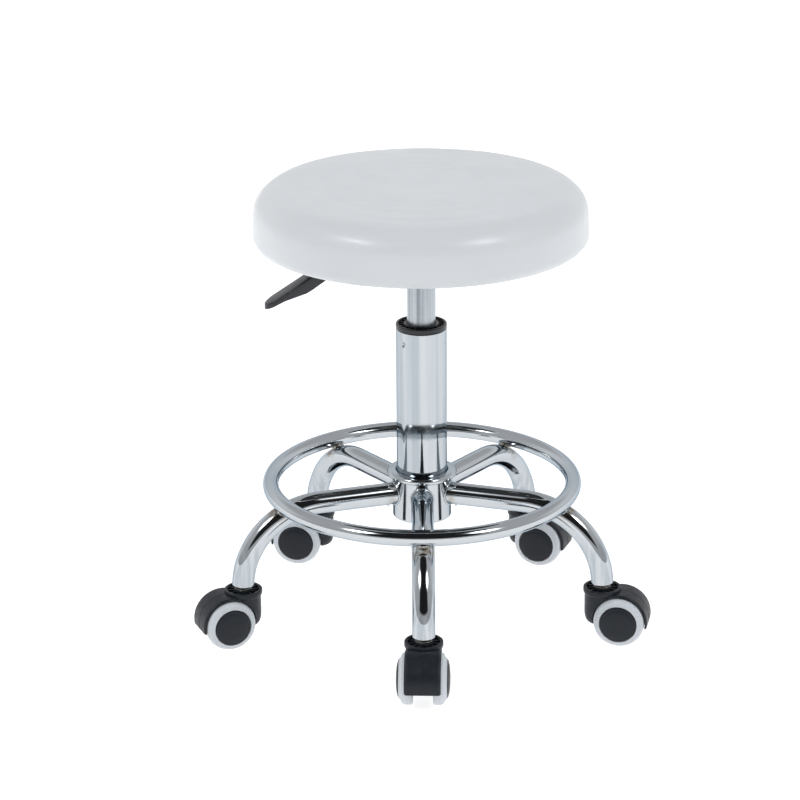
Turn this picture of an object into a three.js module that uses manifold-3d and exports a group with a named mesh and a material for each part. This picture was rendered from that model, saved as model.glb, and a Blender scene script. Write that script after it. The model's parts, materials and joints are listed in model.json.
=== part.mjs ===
// Pedicure stool: a round padded seat on a gas lift, with a hand lever, a five-leg bent-tube base,
// a foot ring and five twin-wheel casters.
// Millimetres, +Z up. The origin is on the floor, on the axis of the column.
import * as THREE from "three";
import { mergeVertices } from "three/addons/utils/BufferGeometryUtils.js";
import Module from "manifold-3d";

const wasm = await Module();
wasm.setup();

// ---- Driving dimensions ----

const GAP = 0.3; // clearance between pieces that touch, slide or turn on each other
const CUT_OVERRUN = 1; // how far a cut runs past the faces it goes through
const SMALL_CHAMFER = 1;

// Seat
const SEAT_RADIUS = 162.3;
const SEAT_TOP_Z = 450;
const SEAT_DEPTH = 55.2;
const SEAT_TOP_EDGE_RADIUS = 25.5;
const SEAT_BOTTOM_EDGE_RADIUS = 9;
const COVER_THICKNESS = 1.4;
const COVER_LIP_WIDTH = 15; // cover folded in under the board
const BOARD_THICKNESS = 12;
const BOARD_EDGE_MARGIN = 10; // foam between the rim of the board and the cover
const DUST_COVER_THICKNESS = 1;
const DUST_COVER_MARGIN = 14; // from the rim of the seat to the dust cover

// Seat plate, its bolts and the socket
const PLATE_SIDE = 130;
const PLATE_CORNER_RADIUS = 16;
const PLATE_THICKNESS = 2.3;
const BOLT_EDGE_DISTANCE = 15; // from the side of the plate to the middle of a bolt
const BOLT_SHANK_RADIUS = 3;
const BOLT_HEAD_RADIUS = 5.8;
const BOLT_HEAD_HEIGHT = 4;
const BOLT_DEPTH_IN_BOARD = 9;
const SOCKET_LENGTH = 35.6;
const SOCKET_GRIP = 17; // length of the gas spring held in the socket
const CHAMBER_STEP = 2.2; // the room for the button and the lever is this much wider than the bore
const CHAMBER_WALL = 4.5;

// Gas lift
const COLUMN_RADIUS = 25;
const COLUMN_WALL = 1.6;
const COLUMN_INSET = 6; // from the bottom of the hub up to the bottom of the column
const COLUMN_FLOOR_THICKNESS = 3;
const COLUMN_TAPER = 0.8; // how much the radius shrinks inside the hub
const COLLAR_HEIGHT = 5;
const COLLAR_RIM_WIDTH = 2.5;
const COLLAR_RECESS_DEPTH = 2.4;
const COLLAR_LIP_WIDTH = 2.9;
const BUSH_LENGTH = 56;
const CYLINDER_RADIUS = 14;
const CYLINDER_WALL = 1.5;
const CYLINDER_SHOWING = 44; // between the socket and the collar
const CYLINDER_END_THICKNESS = 8;
const CYLINDER_TAPER = 0.3;
const ROD_RADIUS = 5;
const LIFT_UP = 80; // travel of the seat from its resting height
const LIFT_DOWN = 40;
const TRAVEL_END_CLEARANCE = 1.7;
const PISTON_HEIGHT = 10;
const CLIP_RADIUS = 8;
const CLIP_THICKNESS = 3;
const BEARING_RADIUS = 12;
const BEARING_HEIGHT = 5;
const BUTTON_RADIUS = 3.5;
const BUTTON_FOOT_RADIUS = 6;
const BUTTON_FOOT_HEIGHT = 3;
const BUTTON_PROUD = 4.5; // how far it stands out of the gas spring

// Lever
const LEVER_HEADING = THREE.MathUtils.degToRad(190); // seen from above, from +X
const LEVER_ROD_RADIUS = 4;
const LEVER_FREE_PLAY = 0.5;
const LEVER_LIFT = THREE.MathUtils.degToRad(6);
const LEVER_INNER_REACH = 8; // past the button
const LEVER_BEND_START = 68;
const LEVER_BEND_RADIUS = 25;
const LEVER_DROOP = THREE.MathUtils.degToRad(31.7);
const LEVER_ROD_IN_HANDLE = 34;
const HANDLE_START = 84;
const HANDLE_END = 153.5;
const HANDLE_WIDTH = 20;
const HANDLE_ROOT_DEPTH = 13;
const HANDLE_TOP_RISE = 7.1; // from the middle of the rod to the top of the handle
const HANDLE_KNEE_AT = 113.4; // where the underside turns flatter
const HANDLE_KNEE_DEPTH = 14.4;
const HANDLE_NECK_AT = 135.8; // where it turns down again
const HANDLE_NECK_DEPTH = 7.4;
const HANDLE_TIP_DEPTH = 5;

// Base
const HUB_WALL = 3.9;
const HUB_FLANGE_WIDTH = 5.3;
const HUB_FLANGE_HEIGHT = 6.5;
const HUB_BELOW_LEGS = 26; // from the middle of the legs to the bottom of the hub
const HUB_ABOVE_LEGS = 16.5; // from there to the underside of the flange
const LEG_COUNT = 5;
const LEG_RADIUS = 11;
const LEG_WALL = 1.5;
const LEG_BEND_RADIUS = 79;
const STEM_CIRCLE_RADIUS = 186;
const FOOT_RING_RADIUS = 150;
const FOOT_RING_TUBE_RADIUS = 8;

// Casters
const WHEEL_RADIUS = 25;
const CASTER_TRAIL = 19;
const WHEEL_INNER_FACE = 9.9; // this and the next four are from the middle plane of the caster
const WHEEL_RIM_EDGE = 18.8;
const CAP_EDGE = 23.1;
const CAP_SHOULDER = 25;
const CAP_APEX = 25.8;
const CAP_SHOULDER_RADIUS = 11;
const TREAD_THICKNESS = 6.6;
const WHEEL_SIDE_CLEARANCE = 0.7;
const AXLE_RADIUS = 4;
const AXLE_HALF_LENGTH = 20;
const STEM_RADIUS = 5.5;
const STEM_LENGTH = 52;
const STEM_FLANGE_RADIUS = 8;
const STEM_FLANGE_HEIGHT = 1;
const STEM_CHAMFER = 2;
const STEM_TOP_CLEARANCE = 1; // above the stem, at the end of its bore
const STEM_SOCKET_DEPTH = 23; // bore in the end of the leg
const LEG_PLUG_LENGTH = 27; // solid end of the leg that holds the stem
const HOOD_COLLAR_ABOVE_FENDER = 2.5;
const HOOD_COLLAR_RADIUS = 18.6;
const HOOD_COLLAR_HEIGHT = 5.5;
const HOOD_RECESS_DEPTH = 3;
const HOOD_COLLAR_WALL = 3;
const HOOD_BOSS_RADIUS = 9;
const HOOD_HALF_WIDTH = 17.3;
const HOOD_NOSE_Z = 19;
const HOOD_NOSE_TAPER_Z = 29;
const HOOD_NOSE_TAPER = 4;
const HOOD_WALL = 1.9;
const HOOD_WHEEL_CLEARANCE = 1;
const HOOD_TAIL_DROP = 5; // from the axle down to the end of the tail
const HOOD_NOSE_ANGLE = 175; // where the fender starts, from +X over the top of the wheels
const HOOD_WEB_HALF_WIDTH = 5;
const AXLE_BOSS_RADIUS = 8;

// Each caster's resting heading: the way its wheels trail from the stem, seen from above, from +X.
const CASTER_HEADINGS = [267.5, 348.4, 339.9, 171, 202.1].map(THREE.MathUtils.degToRad);

// Sides of the round shapes
const SEAT_SIDES = 36;
const COLUMN_SIDES = 24;
const TUBE_SIDES = 10;
const RING_TUBE_SIDES = 8;
const WHEEL_SIDES = 20;
const HOOD_SIDES = 16;
const SMALL_SIDES = 12;
const BOLT_HEAD_SIDES = 6;
const TOP_RIM_STEPS = 4;
const BOTTOM_RIM_STEPS = 2;
const PLATE_CORNER_STEPS = 5;
const FLANGE_STEPS = 4;
const LEVER_BEND_STEPS = 3;
const HANDLE_TIP_STEPS = 8;
const LEG_BEND_STEPS = 6;
const FENDER_STEPS = 8;

// ---- Sizes that follow from these ----

const seatBottomZ = SEAT_TOP_Z - SEAT_DEPTH;
const boardZ = seatBottomZ + COVER_THICKNESS + GAP;
const boardRadius = SEAT_RADIUS - BOARD_EDGE_MARGIN;
const dustCoverTopZ = seatBottomZ - GAP;
const plateTopZ = dustCoverTopZ - DUST_COVER_THICKNESS - GAP;
const plateBottomZ = plateTopZ - PLATE_THICKNESS;
const socketTopZ = plateBottomZ - GAP;
const socketBottomZ = socketTopZ - SOCKET_LENGTH;
const cylinderBore = CYLINDER_RADIUS + GAP;
const chamberRadius = cylinderBore + CHAMBER_STEP;
const socketRadius = chamberRadius + CHAMBER_WALL;
const cylinderTopZ = socketBottomZ + SOCKET_GRIP;
const buttonTopZ = cylinderTopZ + BUTTON_PROUD;
const leverZ = buttonTopZ + LEVER_FREE_PLAY + LEVER_ROD_RADIUS;

// The casters set the height of the leg ends, and the legs set the height of the hub.
const fenderInner = WHEEL_RADIUS + HOOD_WHEEL_CLEARANCE;
const fenderOuter = fenderInner + HOOD_WALL;
const hoodTopZ = WHEEL_RADIUS + fenderOuter + HOOD_COLLAR_ABOVE_FENDER;
const legEndZ = hoodTopZ + GAP + STEM_FLANGE_HEIGHT + GAP;
const stemTopZ = legEndZ + STEM_SOCKET_DEPTH - STEM_TOP_CLEARANCE;
const stemBottomZ = stemTopZ - STEM_LENGTH;
const capRadius = WHEEL_RADIUS - TREAD_THICKNESS;
const axleBossHalfLength = WHEEL_INNER_FACE - WHEEL_SIDE_CLEARANCE;
const legZ = legEndZ + LEG_BEND_RADIUS;
const legBendStart = STEM_CIRCLE_RADIUS - LEG_BEND_RADIUS;
const hubRadius = COLUMN_RADIUS + GAP + HUB_WALL;
const hubBottomZ = legZ - HUB_BELOW_LEGS;
const hubFlangeZ = legZ + HUB_ABOVE_LEGS;
const hubTopZ = hubFlangeZ + HUB_FLANGE_HEIGHT;

// The ring rests on the bends of the legs, or on their straight parts where it is smaller.
const ringReach = LEG_BEND_RADIUS + LEG_RADIUS + FOOT_RING_TUBE_RADIUS + GAP;
const ringPastBend = Math.max(FOOT_RING_RADIUS - legBendStart, 0);
const footRingZ = legEndZ + Math.sqrt(ringReach ** 2 - ringPastBend ** 2);

// The column runs from the hub up to the gas spring's showing part, and the travel sets the rod.
const columnBore = COLUMN_RADIUS - COLUMN_WALL;
const columnBottomZ = hubBottomZ + COLUMN_INSET;
const columnTopZ = socketBottomZ - CYLINDER_SHOWING - COLLAR_HEIGHT;
const rodBottomZ = columnBottomZ - GAP - CLIP_THICKNESS;
const bearingBottomZ = columnBottomZ + COLUMN_FLOOR_THICKNESS + GAP;
const bearingTopZ = bearingBottomZ + BEARING_HEIGHT;
const cylinderBottomZ = bearingTopZ + TRAVEL_END_CLEARANCE + LIFT_DOWN;
const pistonBottomZ = cylinderBottomZ + CYLINDER_END_THICKNESS + LIFT_UP + TRAVEL_END_CLEARANCE;

// ---- Materials ----

const material = (color, roughness, metalness) => () =>
  new THREE.MeshStandardMaterial({ color, roughness, metalness });
const seatLeather = material(0xd3d8db, 0.42, 0);
const foam = material(0xe9e2c4, 0.95, 0);
const plywood = material(0xc9a673, 0.8, 0);
const dustCloth = material(0x17181a, 0.95, 0);
const blackPaint = material(0x1c1d1f, 0.45, 0);
const blackPlastic = material(0x25282a, 0.5, 0);
const chrome = material(0xd7dbdf, 0.08, 1);
const satinSteel = material(0xa5acb2, 0.35, 1);
const zincSteel = material(0xb4b7b8, 0.4, 1);
const paleTread = material(0xbac2cb, 0.6, 0);

// ---- Shape helpers ----

// A closed three.js geometry as a solid that can be cut and joined.
function solidOf(geometry) {
  const bare = geometry.clone();
  bare.deleteAttribute("normal");
  bare.deleteAttribute("uv");
  const merged = mergeVertices(bare, 1e-4);
  const corners = merged.index.array;
  const kept = [];
  for (let i = 0; i < corners.length; i += 3) {
    const [a, b, c] = corners.slice(i, i + 3);
    if (a !== b && b !== c && c !== a) kept.push(a, b, c);
  }
  return new wasm.Manifold(
    new wasm.Mesh({
      numProp: 3,
      vertProperties: new Float32Array(merged.attributes.position.array),
      triVerts: new Uint32Array(kept),
    }),
  );
}

function geometryOf(solid) {
  const mesh = solid.getMesh();
  const geometry = new THREE.BufferGeometry();
  geometry.setAttribute("position", new THREE.BufferAttribute(mesh.vertProperties, 3));
  geometry.setIndex(new THREE.BufferAttribute(mesh.triVerts, 1));
  geometry.computeVertexNormals();
  return geometry;
}

// Points of an arc round (r, z), from one angle to another, in degrees from the +r direction.
function arc(r, z, radius, from, to, steps) {
  const points = [];
  for (let i = 0; i <= steps; i += 1) {
    const angle = THREE.MathUtils.degToRad(from + ((to - from) * i) / steps);
    points.push([r + radius * Math.cos(angle), z + radius * Math.sin(angle)]);
  }
  return points;
}

// A closed outline of [r, z] points turned round the Z axis.
function turned(outline, sides) {
  const points = outline.map(([r, z]) => new THREE.Vector2(Math.max(r, 0), z));
  if (THREE.ShapeUtils.area(points) < 0) points.reverse();
  points.push(points[0].clone());
  const geometry = new THREE.LatheGeometry(points, sides);
  geometry.rotateX(Math.PI / 2);
  return solidOf(geometry);
}

// A disc or a pin from one height to another.
const pin = (radius, z0, z1, sides) =>
  turned([[0, z0], [radius, z0], [radius, z1], [0, z1]], sides);

function block(x0, x1, y0, y1, z0, z1) {
  const box = new THREE.BoxGeometry(x1 - x0, y1 - y0, z1 - z0);
  box.translate((x0 + x1) / 2, (y0 + y1) / 2, (z0 + z1) / 2);
  return solidOf(box);
}

// An outline of [x, z] points made into a bar of the given width, centred on y = 0.
function bar(outline, width) {
  const shape = new THREE.Shape(outline.map(([x, z]) => new THREE.Vector2(x, z)));
  const geometry = new THREE.ExtrudeGeometry(shape, { depth: width, bevelEnabled: false });
  geometry.rotateX(Math.PI / 2);
  geometry.translate(0, width / 2, 0);
  return solidOf(geometry);
}

// Moves a solid through a three.js matrix.
const placed = (solid, matrix) => solid.transform(matrix.elements.slice());
const shifted = (solid, x, y, z) =>
  placed(solid, new THREE.Matrix4().makeTranslation(x, y, z));

// Turns a solid made round Z so that it lies round Y.
const layAlongY = new THREE.Matrix4().makeRotationX(-Math.PI / 2);

// A path in the X-Z plane: a straight, a bend and another straight, one step per straight.
class BentPath extends THREE.Curve {
  constructor(start, straight, bendRadius, bendAngle, end, bendSteps) {
    super();
    Object.assign(this, { start, straight, bendRadius, bendAngle, end, bendSteps });
    this.steps = bendSteps + 1 + (end > 0 ? 1 : 0);
  }
  getPoint(t, target = new THREE.Vector3()) {
    const at = t * this.steps;
    const [x0, z0] = this.start;
    const turn = this.bendAngle * THREE.MathUtils.clamp((at - 1) / this.bendSteps, 0, 1);
    const before = this.straight * Math.min(at, 1);
    const after = this.end * Math.max(at - 1 - this.bendSteps, 0);
    const x = before + this.bendRadius * Math.sin(turn) + after * Math.cos(turn);
    const drop = this.bendRadius * (1 - Math.cos(turn)) + after * Math.sin(turn);
    return target.set(x0 + x, 0, z0 - drop);
  }
  getPointAt(u, target) {
    return this.getPoint(u, target);
  }
  getTangentAt(u, target) {
    return this.getTangent(u, target);
  }
}

function sweptRound(path, radius, sides) {
  const section = new THREE.Shape().absarc(0, 0, radius, 0, 2 * Math.PI, false);
  const options = { steps: path.steps, curveSegments: sides, extrudePath: path };
  return solidOf(new THREE.ExtrudeGeometry(section, options));
}

function piece(name, solid, makeMaterial) {
  const mesh = new THREE.Mesh(geometryOf(solid), makeMaterial());
  mesh.name = name;
  return mesh;
}

// ---- Seat ----

// The rounded rim of the seat, taken in from its outer skin by the given amount.
function bottomRim(inset) {
  const radius = SEAT_BOTTOM_EDGE_RADIUS;
  return arc(SEAT_RADIUS - radius, seatBottomZ + radius, radius - inset, -90, 0, BOTTOM_RIM_STEPS);
}

function topRim(inset) {
  const radius = SEAT_TOP_EDGE_RADIUS;
  return arc(SEAT_RADIUS - radius, SEAT_TOP_Z - radius, radius - inset, 0, 90, TOP_RIM_STEPS);
}

function seatCover() {
  const lipRadius = SEAT_RADIUS - SEAT_BOTTOM_EDGE_RADIUS - COVER_LIP_WIDTH;
  const outer = [[lipRadius, seatBottomZ], ...bottomRim(0), ...topRim(0), [0, SEAT_TOP_Z]];
  const inner = [
    [lipRadius, seatBottomZ + COVER_THICKNESS],
    ...bottomRim(COVER_THICKNESS),
    ...topRim(COVER_THICKNESS),
    [0, SEAT_TOP_Z - COVER_THICKNESS],
  ];
  return turned([...outer, ...inner.reverse()], SEAT_SIDES);
}

function seatFoam() {
  const inset = COVER_THICKNESS + GAP;
  const top = boardZ + BOARD_THICKNESS + GAP;
  const wrapZ = seatBottomZ + SEAT_BOTTOM_EDGE_RADIUS;
  const outline = [
    [0, top],
    [boardRadius + GAP, top],
    [boardRadius + GAP, wrapZ],
    [SEAT_RADIUS - inset, wrapZ],
    ...topRim(inset),
    [0, SEAT_TOP_Z - inset],
  ];
  return turned(outline, SEAT_SIDES);
}

// One thing at each of the four bolt places.
function atBolts(make) {
  const half = PLATE_SIDE / 2 - BOLT_EDGE_DISTANCE;
  return [[half, half], [-half, half], [-half, -half], [half, -half]].map(([x, y], index) =>
    make(x, y, index + 1),
  );
}

// The solid between two heights, with a hole right through it at each bolt.
function withBoltHoles(solid, z0, z1) {
  const hole = pin(BOLT_SHANK_RADIUS + GAP, z0 - CUT_OVERRUN, z1 + CUT_OVERRUN, SMALL_SIDES);
  return atBolts((x, y) => shifted(hole, x, y, 0)).reduce(
    (rest, cut) => rest.subtract(cut),
    solid,
  );
}

function seatBoard() {
  const board = pin(boardRadius, boardZ, boardZ + BOARD_THICKNESS, SEAT_SIDES);
  return withBoltHoles(board, boardZ, boardZ + BOARD_THICKNESS);
}

function dustCover() {
  const bottomZ = dustCoverTopZ - DUST_COVER_THICKNESS;
  const sheet = pin(SEAT_RADIUS - DUST_COVER_MARGIN, bottomZ, dustCoverTopZ, SEAT_SIDES);
  return withBoltHoles(sheet, bottomZ, dustCoverTopZ);
}

function seatPlate() {
  const half = PLATE_SIDE / 2 - PLATE_CORNER_RADIUS;
  const outline = new THREE.Shape();
  outline.absarc(half, half, PLATE_CORNER_RADIUS, 0, Math.PI / 2, false);
  outline.absarc(-half, half, PLATE_CORNER_RADIUS, Math.PI / 2, Math.PI, false);
  outline.absarc(-half, -half, PLATE_CORNER_RADIUS, Math.PI, 1.5 * Math.PI, false);
  outline.absarc(half, -half, PLATE_CORNER_RADIUS, 1.5 * Math.PI, 2 * Math.PI, false);
  const options = { depth: PLATE_THICKNESS, bevelEnabled: false };
  options.curveSegments = PLATE_CORNER_STEPS;
  const plate = solidOf(new THREE.ExtrudeGeometry(outline, options));
  return withBoltHoles(shifted(plate, 0, 0, plateBottomZ), plateBottomZ, plateTopZ);
}

function plateBolt() {
  const headTopZ = plateBottomZ - GAP;
  const headBottomZ = headTopZ - BOLT_HEAD_HEIGHT;
  const head = pin(BOLT_HEAD_RADIUS, headBottomZ, headTopZ, BOLT_HEAD_SIDES);
  const shank = pin(BOLT_SHANK_RADIUS, headBottomZ, boardZ + BOLT_DEPTH_IN_BOARD, SMALL_SIDES);
  return head.add(shank);
}

// ---- Socket, gas spring and column ----

function taperSocket() {
  const gripTopZ = cylinderTopZ + GAP;
  const outline = [
    [cylinderBore, socketBottomZ],
    [socketRadius, socketBottomZ],
    [socketRadius, socketTopZ],
    [chamberRadius, socketTopZ],
    [chamberRadius, gripTopZ],
    [cylinderBore - CYLINDER_TAPER, gripTopZ],
  ];
  const side = LEVER_ROD_RADIUS + GAP;
  const rise = side + CHAMBER_WALL * Math.sin(LEVER_LIFT);
  const reach = socketRadius + CUT_OVERRUN;
  const leverWindow = block(0, reach, -side, side, leverZ - rise, leverZ + rise);
  const turn = new THREE.Matrix4().makeRotationZ(LEVER_HEADING);
  return turned(outline, COLUMN_SIDES).subtract(placed(leverWindow, turn));
}

function gasCylinder() {
  const inner = CYLINDER_RADIUS - CYLINDER_WALL;
  const glandHole = ROD_RADIUS + GAP;
  const buttonHole = BUTTON_RADIUS + GAP;
  const outline = [
    [glandHole, cylinderBottomZ],
    [CYLINDER_RADIUS, cylinderBottomZ],
    [CYLINDER_RADIUS, socketBottomZ],
    [CYLINDER_RADIUS - CYLINDER_TAPER, cylinderTopZ],
    [buttonHole, cylinderTopZ],
    [buttonHole, cylinderTopZ - CYLINDER_END_THICKNESS],
    [inner, cylinderTopZ - CYLINDER_END_THICKNESS],
    [inner, cylinderBottomZ + CYLINDER_END_THICKNESS],
    [glandHole, cylinderBottomZ + CYLINDER_END_THICKNESS],
  ];
  return turned(outline, COLUMN_SIDES);
}

function releaseButton() {
  const footTopZ = cylinderTopZ - CYLINDER_END_THICKNESS - GAP;
  const outline = [
    [0, footTopZ - BUTTON_FOOT_HEIGHT],
    [BUTTON_FOOT_RADIUS, footTopZ - BUTTON_FOOT_HEIGHT],
    [BUTTON_FOOT_RADIUS, footTopZ],
    [BUTTON_RADIUS, footTopZ],
    [BUTTON_RADIUS, buttonTopZ - SMALL_CHAMFER],
    [BUTTON_RADIUS - SMALL_CHAMFER, buttonTopZ],
    [0, buttonTopZ],
  ];
  return turned(outline, SMALL_SIDES);
}

// The rod with the clip that holds it under the floor of the column, and the piston at its top.
function pistonRod() {
  const pistonRadius = CYLINDER_RADIUS - CYLINDER_WALL - GAP;
  const pistonTopZ = pistonBottomZ + PISTON_HEIGHT;
  const outline = [
    [0, rodBottomZ],
    [CLIP_RADIUS, rodBottomZ],
    [CLIP_RADIUS, rodBottomZ + CLIP_THICKNESS],
    [ROD_RADIUS, rodBottomZ + CLIP_THICKNESS],
    [ROD_RADIUS, pistonBottomZ],
    [pistonRadius, pistonBottomZ],
    [pistonRadius, pistonTopZ],
    [0, pistonTopZ],
  ];
  return turned(outline, SMALL_SIDES);
}

function thrustBearing() {
  const bore = ROD_RADIUS + GAP;
  return turned(
    [
      [bore, bearingBottomZ],
      [BEARING_RADIUS, bearingBottomZ],
      [BEARING_RADIUS, bearingTopZ],
      [bore, bearingTopZ],
    ],
    SMALL_SIDES,
  );
}

function columnTube() {
  const rodHole = ROD_RADIUS + GAP;
  const floorTopZ = columnBottomZ + COLUMN_FLOOR_THICKNESS;
  const outline = [
    [rodHole, columnBottomZ],
    [COLUMN_RADIUS - COLUMN_TAPER, columnBottomZ],
    [COLUMN_RADIUS, hubTopZ],
    [COLUMN_RADIUS, columnTopZ],
    [columnBore, columnTopZ],
    [columnBore, hubTopZ],
    [columnBore - COLUMN_TAPER, floorTopZ],
    [rodHole, floorTopZ],
  ];
  return turned(outline, COLUMN_SIDES);
}

// The plastic cap and guide bush that the gas spring slides in.
function columnCollar() {
  const rimRadius = COLUMN_RADIUS - COLLAR_RIM_WIDTH;
  const lipRadius = cylinderBore + COLLAR_LIP_WIDTH;
  const bushRadius = columnBore - GAP;
  const bushBottomZ = columnTopZ - BUSH_LENGTH;
  const rimBottomZ = columnTopZ + GAP;
  const topZ = columnTopZ + COLLAR_HEIGHT;
  const outline = [
    [cylinderBore, bushBottomZ],
    [bushRadius, bushBottomZ],
    [bushRadius, rimBottomZ],
    [COLUMN_RADIUS, rimBottomZ],
    [COLUMN_RADIUS, topZ - SMALL_CHAMFER],
    [COLUMN_RADIUS - SMALL_CHAMFER, topZ],
    [rimRadius, topZ],
    [rimRadius, topZ - COLLAR_RECESS_DEPTH],
    [lipRadius, topZ - COLLAR_RECESS_DEPTH],
    [lipRadius, topZ],
    [cylinderBore, topZ],
  ];
  return turned(outline, COLUMN_SIDES);
}

// ---- Lever, made along +X and turned to its heading ----

function leverRod() {
  const path = new BentPath(
    [-LEVER_INNER_REACH, leverZ],
    LEVER_INNER_REACH + LEVER_BEND_START,
    LEVER_BEND_RADIUS,
    LEVER_DROOP,
    LEVER_ROD_IN_HANDLE,
    LEVER_BEND_STEPS,
  );
  return sweptRound(path, LEVER_ROD_RADIUS, TUBE_SIDES);
}

function leverHandle() {
  const bendEnd = LEVER_BEND_START + LEVER_BEND_RADIUS * Math.sin(LEVER_DROOP);
  const bendEndZ = leverZ - LEVER_BEND_RADIUS * (1 - Math.cos(LEVER_DROOP));
  const slope = Math.tan(LEVER_DROOP);
  // Height of the middle of the rod inside the handle, and of the handle's top above it.
  const rodZ = (x) => bendEndZ - (x - bendEnd) * slope;
  const topZ = (x) => rodZ(x) + HANDLE_TOP_RISE;
  const half = HANDLE_WIDTH / 2;
  const side = bar(
    [
      [HANDLE_START, topZ(HANDLE_START)],
      [HANDLE_END, topZ(HANDLE_END)],
      [HANDLE_END, topZ(HANDLE_END) - HANDLE_TIP_DEPTH],
      [HANDLE_NECK_AT, topZ(HANDLE_NECK_AT) - HANDLE_NECK_DEPTH],
      [HANDLE_KNEE_AT, topZ(HANDLE_KNEE_AT) - HANDLE_KNEE_DEPTH],
      [HANDLE_START, topZ(HANDLE_START) - HANDLE_ROOT_DEPTH],
    ].reverse(),
    HANDLE_WIDTH,
  );
  const plan = new THREE.Shape();
  plan.moveTo(HANDLE_START - CUT_OVERRUN, -half);
  plan.absarc(HANDLE_END - half, 0, half, -Math.PI / 2, Math.PI / 2, false);
  plan.lineTo(HANDLE_START - CUT_OVERRUN, half);
  const options = { depth: SEAT_TOP_Z, bevelEnabled: false, curveSegments: HANDLE_TIP_STEPS };
  const rounded = solidOf(new THREE.ExtrudeGeometry(plan, options));
  const boreRadius = LEVER_ROD_RADIUS + GAP;
  const boreEnd = LEVER_ROD_IN_HANDLE + GAP;
  const bore = placed(
    pin(boreRadius, -LEVER_BEND_RADIUS, boreEnd, TUBE_SIDES),
    new THREE.Matrix4()
      .makeTranslation(bendEnd, 0, bendEndZ)
      .multiply(new THREE.Matrix4().makeRotationY(Math.PI / 2 + LEVER_DROOP)),
  );
  return side.intersect(rounded).subtract(bore);
}

// ---- Base ----

function hub() {
  const bore = COLUMN_RADIUS + GAP;
  const round = HUB_FLANGE_HEIGHT / 2;
  const flangeMiddle = hubRadius + HUB_FLANGE_WIDTH - round;
  const outline = [
    [bore - COLUMN_TAPER, hubBottomZ],
    [hubRadius, hubBottomZ],
    [hubRadius, hubFlangeZ],
    ...arc(flangeMiddle, hubFlangeZ + round, round, -90, 90, FLANGE_STEPS),
    [bore, hubTopZ],
  ];
  return turned(outline, COLUMN_SIDES);
}

// A leg along +X: a bent tube, open at the hub, with a solid end bored for the caster's stem.
function leg() {
  const start = hubRadius / 2;
  const straight = legBendStart - start;
  const path = (bendAngle) =>
    new BentPath([start, legZ], straight, LEG_BEND_RADIUS, bendAngle, 0, LEG_BEND_STEPS);
  const plugAngle = LEG_PLUG_LENGTH / LEG_BEND_RADIUS;
  const tube = sweptRound(path(Math.PI / 2), LEG_RADIUS, TUBE_SIDES);
  const hollow = sweptRound(path(Math.PI / 2 - plugAngle), LEG_RADIUS - LEG_WALL, TUBE_SIDES);
  const saddle = pin(hubRadius + GAP, hubBottomZ, hubFlangeZ, COLUMN_SIDES);
  const boreTopZ = legEndZ + STEM_SOCKET_DEPTH;
  const bore = pin(STEM_RADIUS + GAP, legEndZ - CUT_OVERRUN, boreTopZ, SMALL_SIDES);
  return tube.subtract(hollow).subtract(saddle).subtract(shifted(bore, STEM_CIRCLE_RADIUS, 0, 0));
}

function footRing() {
  const step = 360 / RING_TUBE_SIDES;
  const steps = RING_TUBE_SIDES - 1;
  const section = arc(FOOT_RING_RADIUS, footRingZ, FOOT_RING_TUBE_RADIUS, 0, steps * step, steps);
  return turned(section, SEAT_SIDES);
}

// ---- Caster, made with its stem on the Z axis and its wheels trailing along +X ----

function hoodSocket() {
  const collarZ = hoodTopZ - HOOD_COLLAR_HEIGHT;
  const recessZ = hoodTopZ - HOOD_RECESS_DEPTH;
  const recessRadius = HOOD_COLLAR_RADIUS - HOOD_COLLAR_WALL;
  const outline = [
    [0, HOOD_NOSE_Z],
    [HOOD_HALF_WIDTH - HOOD_NOSE_TAPER, HOOD_NOSE_Z],
    [HOOD_HALF_WIDTH, HOOD_NOSE_TAPER_Z],
    [HOOD_HALF_WIDTH, collarZ],
    [HOOD_COLLAR_RADIUS, collarZ],
    [HOOD_COLLAR_RADIUS, hoodTopZ],
    [recessRadius, hoodTopZ],
    [recessRadius, recessZ],
    [HOOD_BOSS_RADIUS, recessZ],
    [HOOD_BOSS_RADIUS, hoodTopZ],
    [0, hoodTopZ],
  ];
  return turned(outline, HOOD_SIDES);
}

// An arc round the axle, from the tail of the hood over the wheels to its nose.
function overWheels(radius) {
  const tailAngle = THREE.MathUtils.radToDeg(Math.asin(-HOOD_TAIL_DROP / fenderOuter));
  return arc(CASTER_TRAIL, WHEEL_RADIUS, radius, tailAngle, HOOD_NOSE_ANGLE, FENDER_STEPS);
}

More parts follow.
